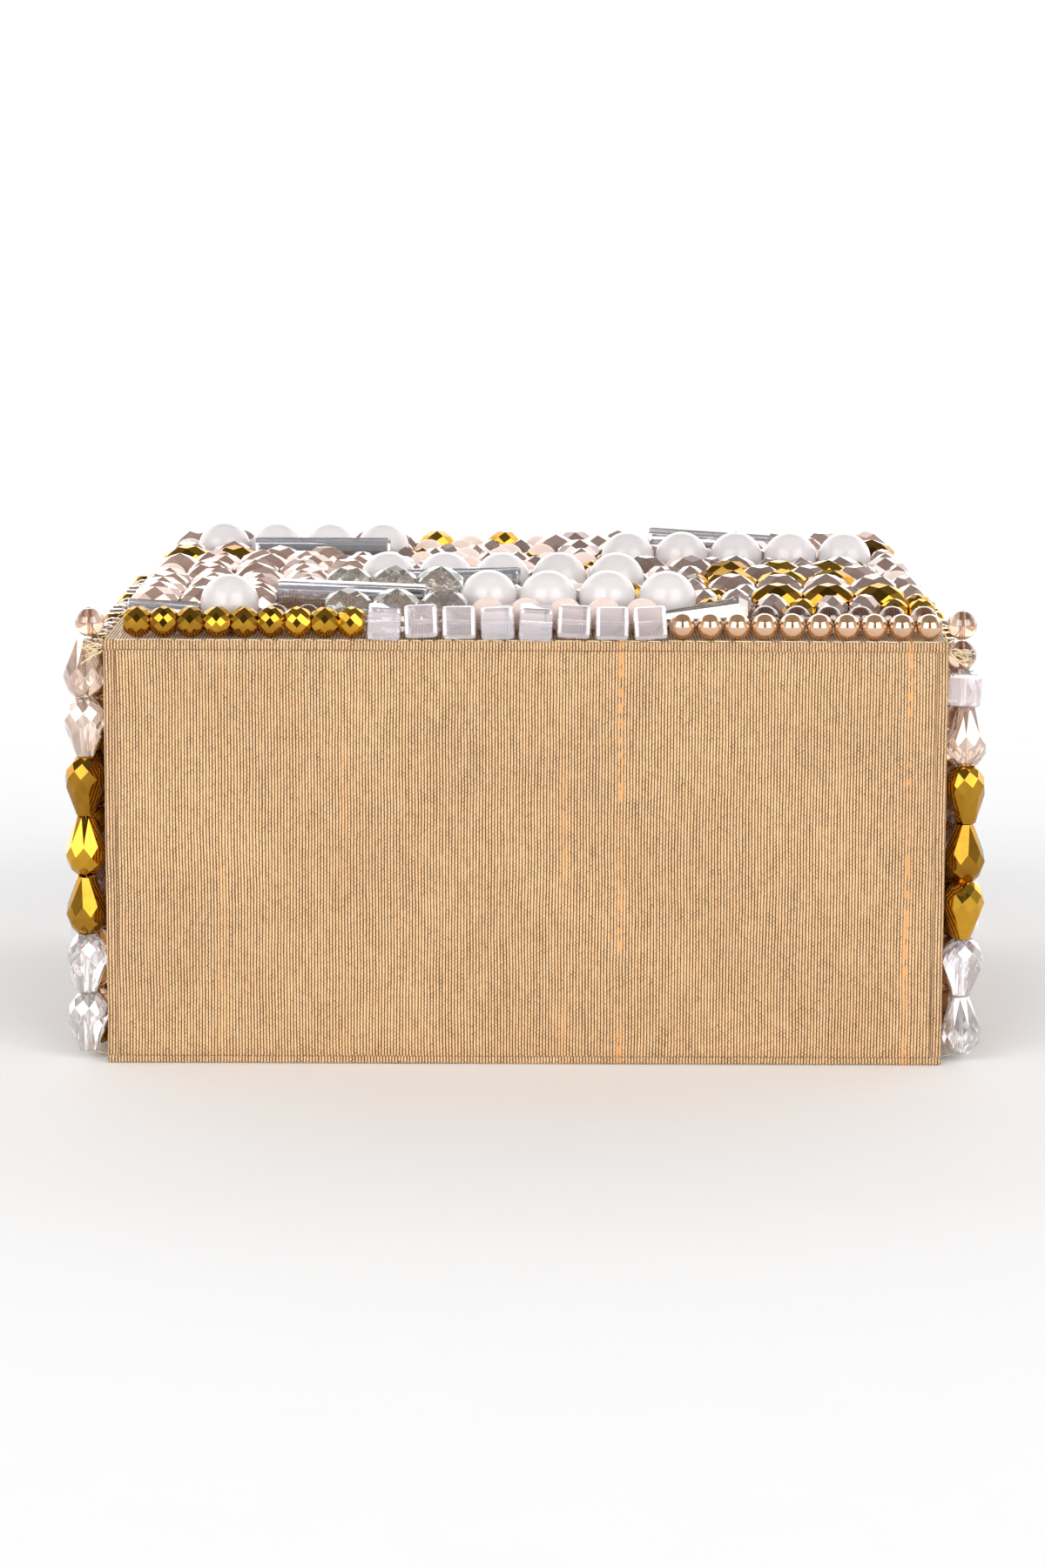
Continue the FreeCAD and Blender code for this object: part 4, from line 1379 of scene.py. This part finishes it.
class BAG_OT_catch(bpy.types.Operator):
    """Wraps the catch rail and sets its magnets"""

    bl_idname = "bag.catch"
    bl_label = "Magnetic catch"
    bl_options = {"REGISTER", "UNDO"}

    def execute(self, context):
        low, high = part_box("catch_rail")
        pitch = (2.0 * MM, 1.5 * MM, 1.5 * MM)
        rail = soft_slab("catch_rail_satin", low, high, 0.7 * MM, pitch, (0, 2), self.soft)
        settle_piece(rail, CASE, "satin", "satin", ["catch_rail"])
        magnets = add_object("catch_magnets", self.magnets("case_magnets", high.z + 0.05 * MM))
        settle_piece(magnets, CASE, "magnet", "nickel", ["case_magnets"])
        paint_node("lid_magnets", "nickel")
        return {"FINISHED"}

    def soft(self, point, normal):
        return -abs(ripple(point, (0.1 * MM, 90.0)))

    def magnets(self, node, face):
        """Discs with a bevelled rim on a CAD node's spots, with their faces at one height."""
        low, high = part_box(node)
        radius = (high.y - low.y) / 2
        rim, foot = face - 0.15 * MM, low.z + 0.05 * MM
        profile = ((0.0, face), (0.9, face), (1.0, rim), (1.0, foot), (0.0, low.z))
        bm = bmesh.new()
        for centre in map(middle_of, solids_of(node)):
            rings = []
            for share, z in profile:
                around = [(math.cos(a), math.sin(a)) for a in circle(40)]
                reach = radius * share
                spots = [(centre.x + reach * x, centre.y + reach * y, z) for x, y in around]
                rings.append([bm.verts.new(spot) for spot in spots])
            for here, there in zip(rings, rings[1:]):
                quads(bm, here, there, closed=True)
        bmesh.ops.remove_doubles(bm, verts=bm.verts, dist=1e-7)
        bmesh.ops.dissolve_degenerate(bm, edges=bm.edges, dist=1e-7)
        bmesh.ops.recalc_face_normals(bm, faces=bm.faces)
        return mesh_from("catch_magnets", bm, smooth=False)


TAB_ROWS, TAB_COLUMNS = 48, 24  # how finely the pull tab is divided


class BAG_OT_pull_tab(bpy.types.Operator):
    """Makes the doubled ribbon that lifts the lid"""

    bl_idname = "bag.pull_tab"
    bl_label = "Pull tab"
    bl_options = {"REGISTER", "UNDO"}

    def execute(self, context):
        bm = bmesh.new()
        weave = bm.verts.layers.float_vector.new("weave")
        lower, upper = (self.side(bm, weave, side) for side in (-1, 1))
        for rows in (lower, upper):
            for here, there in zip(rows, rows[1:]):
                quads(bm, here, there)
        quads(bm, self.rim(lower), self.rim(upper), closed=True)
        bmesh.ops.recalc_face_normals(bm, faces=bm.faces)
        tab = add_object("pull_tab_ribbon", mesh_from("pull_tab_ribbon", bm, smooth=True))
        settle_piece(tab, LID, "ribbon", "silk", ["pull_tab"])
        return {"FINISHED"}

    def side(self, bm, weave, side):
        """Rows of points over one face of the tab, thinner at its edges and round at its end."""
        low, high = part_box("pull_tab")
        width = high.x - low.x
        middle, half = (low.z + high.z) / 2, (high.z - low.z) / 2
        corner = width / 4
        wale_height, wale_pitch, end_fall = 0.05 * MM, 0.9 * MM, 0.8 * MM
        rows = []
        for r in range(TAB_ROWS + 1):
            y = low.y + (high.y - low.y) * r / TAB_ROWS
            into = max(0.0, y - (high.y - corner))
            narrow = corner - math.sqrt(max(0.0, corner**2 - into**2))
            end = min(1.0, (high.y - y) / end_fall)
            wale = wale_height * abs(math.sin(math.pi * y / wale_pitch))
            row = []
            for c in range(TAB_COLUMNS + 1):
                across = 2 * c / TAB_COLUMNS - 1
                x = across * (width / 2 - narrow)
                thick = half * (0.35 + 0.65 * math.sqrt(end)) * (1 - 0.35 * abs(across) ** 8)
                v = bm.verts.new((x, y, middle + side * (thick - wale)))
                v[weave] = (y, x, 0)
                row.append(v)
            rows.append(row)
        return rows

    def rim(self, rows):
        """The points round the edge of a grid, in order."""
        far = [row[-1] for row in reversed(rows[:-1])]
        return [row[0] for row in rows] + rows[-1][1:] + far + rows[0][-2:0:-1]


def bead_nodes(kind):
    """The CAD nodes, on the lid and on the case, that hold one sort of bead."""
    return [f"{body}_{kind}" for body in (LID, CASE) if f"{body}_{kind}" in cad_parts]


class BAG_OT_faceted_beads(bpy.types.Operator):
    """Strings the faceted rondelles, ovals and rounds"""

    bl_idname = "bag.faceted_beads"
    bl_label = "Faceted beads"
    bl_options = {"REGISTER", "UNDO"}

    def execute(self, context):
        kinds = (
            ("gold_rondelles", "gold_glass", "gold", 10, 0.16, 0.36),
            ("gold_ovals", "gold_glass", "gold", 8, 0.19, 0.39),
            ("rose_crystals", "rose_glass", "rose", 7, 0.21, 0.41),
            ("mauve_crystals", "mauve_glass", "mauve", 7, 0.21, 0.41),
            ("smoky_crystals", "smoky_glass", "smoky", 8, 0.19, 0.39),
        )
        for kind, slot, material, sides, first, second in kinds:
            for node in bead_nodes(kind):
                cut = rondelle_cut(across_of(node), sides, first, second)
                string_beads(f"{node}_cut", node, cut, slot, material)
        return {"FINISHED"}


class BAG_OT_round_beads(bpy.types.Operator):
    """Strings the pearls and the smooth rounds"""

    bl_idname = "bag.round_beads"
    bl_label = "Round beads"
    bl_options = {"REGISTER", "UNDO"}

    def execute(self, context):
        kinds = (
            ("glass_pearls", "pearl_glass", "pearl", 24, 14),
            ("milky_rounds", "milky_glass", "milky", 36, 22),
            ("peach_rounds", "peach_glass", "peach", 28, 16),
            ("taupe_balls", "taupe_glass", "taupe", 26, 16),
        )
        for kind, slot, material, segments, rings in kinds:
            for node in bead_nodes(kind):
                cut = round_cut(across_of(node), segments, rings)
                string_beads(f"{node}_drilled", node, cut, slot, material, smooth=True)
        return {"FINISHED"}


class BAG_OT_cubes(bpy.types.Operator):
    """Strings the iridescent cubes"""

    bl_idname = "bag.cubes"
    bl_label = "Iridescent cubes"
    bl_options = {"REGISTER", "UNDO"}

    def execute(self, context):
        for node in bead_nodes("iridescent_cubes"):
            cut = cube_cut(across_of(node))
            name = f"{node}_bevelled"
            string_beads(name, node, cut, "iridescent_glass", "iridescent", spin=math.radians(14))
        return {"FINISHED"}


class BAG_OT_drops(bpy.types.Operator):
    """Strings the faceted drops down the walls"""

    bl_idname = "bag.drops"
    bl_label = "Faceted drops"
    bl_options = {"REGISTER", "UNDO"}

    def execute(self, context):
        kinds = (
            ("gold_drops", "gold_glass", "gold"),
            ("rose_drops", "rose_glass", "blush"),
            ("clear_drops", "clear_glass", "clear"),
        )
        for kind, slot, material in kinds:
            for node in bead_nodes(kind):
                string_beads(f"{node}_cut", node, drop_cut(across_of(node)), slot, material)
        return {"FINISHED"}


class BAG_OT_tubes(bpy.types.Operator):
    """Strings the silver-lined tubes and the tapered crystals"""

    bl_idname = "bag.tubes"
    bl_label = "Tubes and tapered crystals"
    bl_options = {"REGISTER", "UNDO"}

    def execute(self, context):
        slot = "silver_lined_glass"
        for node in bead_nodes("silver_tubes"):
            string_beads(f"{node}_glass", node, tube_cut(8, 0.5, 0.24), slot, "clear")
            lining = tube_cut(12, 0.235, 0.12)
            string_beads(f"{node}_lining", node, lining, slot, "silver", shrink=0.98)
        for node in bead_nodes("tapered_crystals"):
            cut = spike_cut(across_of(node))
            string_beads(f"{node}_cut", node, cut, "clear_glass", "sparkling")
        return {"FINISHED"}


THREAD_DEPTH = 0.1 * MM  # how deep in the silk a thread ends
STRAND_GAP = (-0.3 * MM, 1.6 * MM)  # how far apart a strand's neighbours may stand
STRAND_REACH = 3.2 * MM  # how far off, ahead and aside added, the next bead may be


def holds_beads(node):
    """True for a CAD node that holds beads."""
    others = ("_silk", "_board", "_lining", "_magnets", "_leaf")
    return node.startswith(("lid_", "case_")) and not node.endswith(others)


def strands_of(beads):
    """Sorts beads into strands: each is followed by the one that starts where it ends."""
    by_face = {}
    for bead in beads:
        by_face.setdefault(bead.face, []).append(bead)
    strands = []
    for face, members in by_face.items():
        flat = {id(bead): FACES[face].flat(bead.centre) for bead in members}
        members.sort(key=lambda bead: flat[id(bead)][0])
        ends = []
        for bead in members:
            along, across, _ = flat[id(bead)]
            best, nearest = None, STRAND_REACH
            for strand in ends:
                last_along, last_across, _ = flat[id(strand[-1])]
                gap = along - bead.length / 2 - (last_along + strand[-1].length / 2)
                off = abs(across - last_across) + abs(gap)
                if STRAND_GAP[0] < gap < STRAND_GAP[1] and off < nearest:
                    best, nearest = strand, off
            if best is None:
                ends.append([bead])
            else:
                best.append(bead)
        strands += ends
    return strands


class BAG_OT_threads(bpy.types.Operator):
    """Runs a thread through every strand, and frays it at the lid's corners"""

    bl_idname = "bag.threads"
    bl_label = "Threads"
    bl_options = {"REGISTER", "UNDO"}

    def execute(self, context):
        settings = context.scene.bag_beads
        strung = {CASE: [], LID: []}
        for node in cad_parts:
            if holds_beads(node):
                for bead in beads_of(node):
                    strung[FACES[bead.face].body].append(bead)
        for body, beads in strung.items():
            lines = [self.run(strand) for strand in strands_of(beads)]
            loose = self.fray if body == CASE else self.edge_stitches
            lines += loose(random.Random(settings.seed))
            verts, edges = [], []
            for line in lines:
                first = len(verts)
                verts += line
                edges += [(i, i + 1) for i in range(first, len(verts) - 1)]
            path = bpy.data.meshes.new("threads")
            path.from_pydata(verts, edges, [])
            thread = {"Radius": settings.thread, "Sides": 6, "Finish": finish("thread")}
            mesh = grown_mesh(path, thread_tree(), **thread)
            mesh.shade_smooth()
            settle_piece(add_object(f"{body}_threads", mesh), body, "ribbon", "thread")
        return {"FINISHED"}

    def edge_stitches(self, chance):
        """Uneven stitches that hold the first strand down along the lid's near edge."""
        sunk = LID_TOP - 0.15 * MM
        x = -HALF_WIDTH + 2 * MM
        while x < HALF_WIDTH - 4 * MM:
            length = chance.uniform(1.6, 3.8) * MM
            y = -HALF_LENGTH + chance.uniform(0.05, 0.55) * MM
            drop = chance.uniform(-0.15, 0.35) * MM
            yield [
                Vector((x, y + 0.4 * MM, sunk)),
                Vector((x + length * 0.2, y, LID_TOP + 0.06 * MM)),
                Vector((x + length * 0.8, y - drop, LID_TOP + 0.04 * MM)),
                Vector((x + length, y + 0.3 * MM, sunk)),
            ]
            x += length * chance.uniform(0.75, 1.3)

    def fray(self, chance):
        """Loose loops where strands are tied off, at both near ends of the lid's edge."""
        hairs, bends = 16, 8
        clear = HALF_WIDTH + 0.1 * MM
        for side in (-1, 1):
            knot = Vector((side * (HALF_WIDTH + 0.6 * MM), -HALF_LENGTH + 1.2 * MM, LID_UNDER))
            for _ in range(hairs):
                reach = chance.uniform(1.5, 4.2) * MM
                lean = chance.uniform(-0.9, 0.5)
                out = Vector((side * math.cos(lean), chance.uniform(-0.35, 0.3), math.sin(lean)))
                bow = Vector(chance.uniform(-1, 1) * 0.9 * MM for _ in range(3))
                start = knot + Vector(chance.uniform(-1, 1) * 0.7 * MM for _ in range(3))
                start.x = side * max(abs(start.x), clear)
                points = []
                for bend in range(bends + 1):
                    t = bend / bends
                    point = start + out * reach * t + bow * math.sin(math.pi * t)
                    point.x = side * max(abs(point.x), clear)
                    point.y = max(point.y, -HALF_LENGTH - 0.3 * MM)
                    points.append(point)
                yield points

    def run(self, strand):
        """One thread through a strand, with its two ends in the silk."""
        into_silk, lead, rise = 0.9 * MM, 0.25 * MM, 0.7
        face = FACES[strand[0].face]
        flat = [face.flat(bead.centre) for bead in strand]
        (near, near_across, near_height), (far, far_across, far_height) = flat[0], flat[-1]
        start = near - strand[0].length / 2
        end = far + strand[-1].length / 2
        if face.body == CASE and strand[0].centre.z > LID_UNDER:
            points = [face.point(-LID_UNDER + 0.4 * MM, near_across, -THREAD_DEPTH)]
        else:
            points = [face.point(start - into_silk, near_across, -THREAD_DEPTH)]
            points.append(face.point(start - lead, near_across, near_height * rise))
        points += [face.point(*place) for place in flat]
        points.append(face.point(end + lead, far_across, far_height * rise))
        points.append(face.point(end + into_silk, far_across, -THREAD_DEPTH))
        return points


STEPS = (
    BAG_OT_stage,
    BAG_OT_silk,
    BAG_OT_boards,
    BAG_OT_linings,
    BAG_OT_hinge,
    BAG_OT_catch,
    BAG_OT_pull_tab,
    BAG_OT_faceted_beads,
    BAG_OT_round_beads,
    BAG_OT_cubes,
    BAG_OT_drops,
    BAG_OT_tubes,
    BAG_OT_threads,
)


class BAG_PT_panel(bpy.types.Panel):
    """Lists the steps of the build and their settings"""

    bl_idname = "BAG_PT_panel"
    bl_label = "Evening bag"
    bl_space_type = "VIEW_3D"
    bl_region_type = "UI"
    bl_category = "Evening bag"

    def draw(self, context):
        for name in ("bag_silk", "bag_beads", "bag_stage"):
            box = self.layout.box()
            settings = getattr(context.scene, name)
            for key in settings.bl_rna.properties.keys():
                if key not in ("rna_type", "name"):
                    box.prop(settings, key)
        for step in STEPS:
            self.layout.operator(step.bl_idname)


SETTINGS = {
    "bag_silk": BagSilkSettings,
    "bag_beads": BagBeadSettings,
    "bag_stage": BagStageSettings,
}


def register():
    for cls in (*SETTINGS.values(), *STEPS, BAG_PT_panel):
        bpy.utils.register_class(cls)
    for name, cls in SETTINGS.items():
        setattr(bpy.types.Scene, name, PointerProperty(type=cls))


def unregister():
    for name in SETTINGS:
        delattr(bpy.types.Scene, name)
    for cls in reversed((*SETTINGS.values(), *STEPS, BAG_PT_panel)):
        bpy.utils.unregister_class(cls)


def main():
    register()
    for step in STEPS:
        getattr(bpy.ops.bag, step.bl_idname.split(".")[1])()
    boxes = {"cad": CAD_BOX, "visual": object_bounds()}
    plain = {name: [[float(x) for x in corner] for corner in box] for name, box in boxes.items()}


if __name__ == "__main__":
    main()
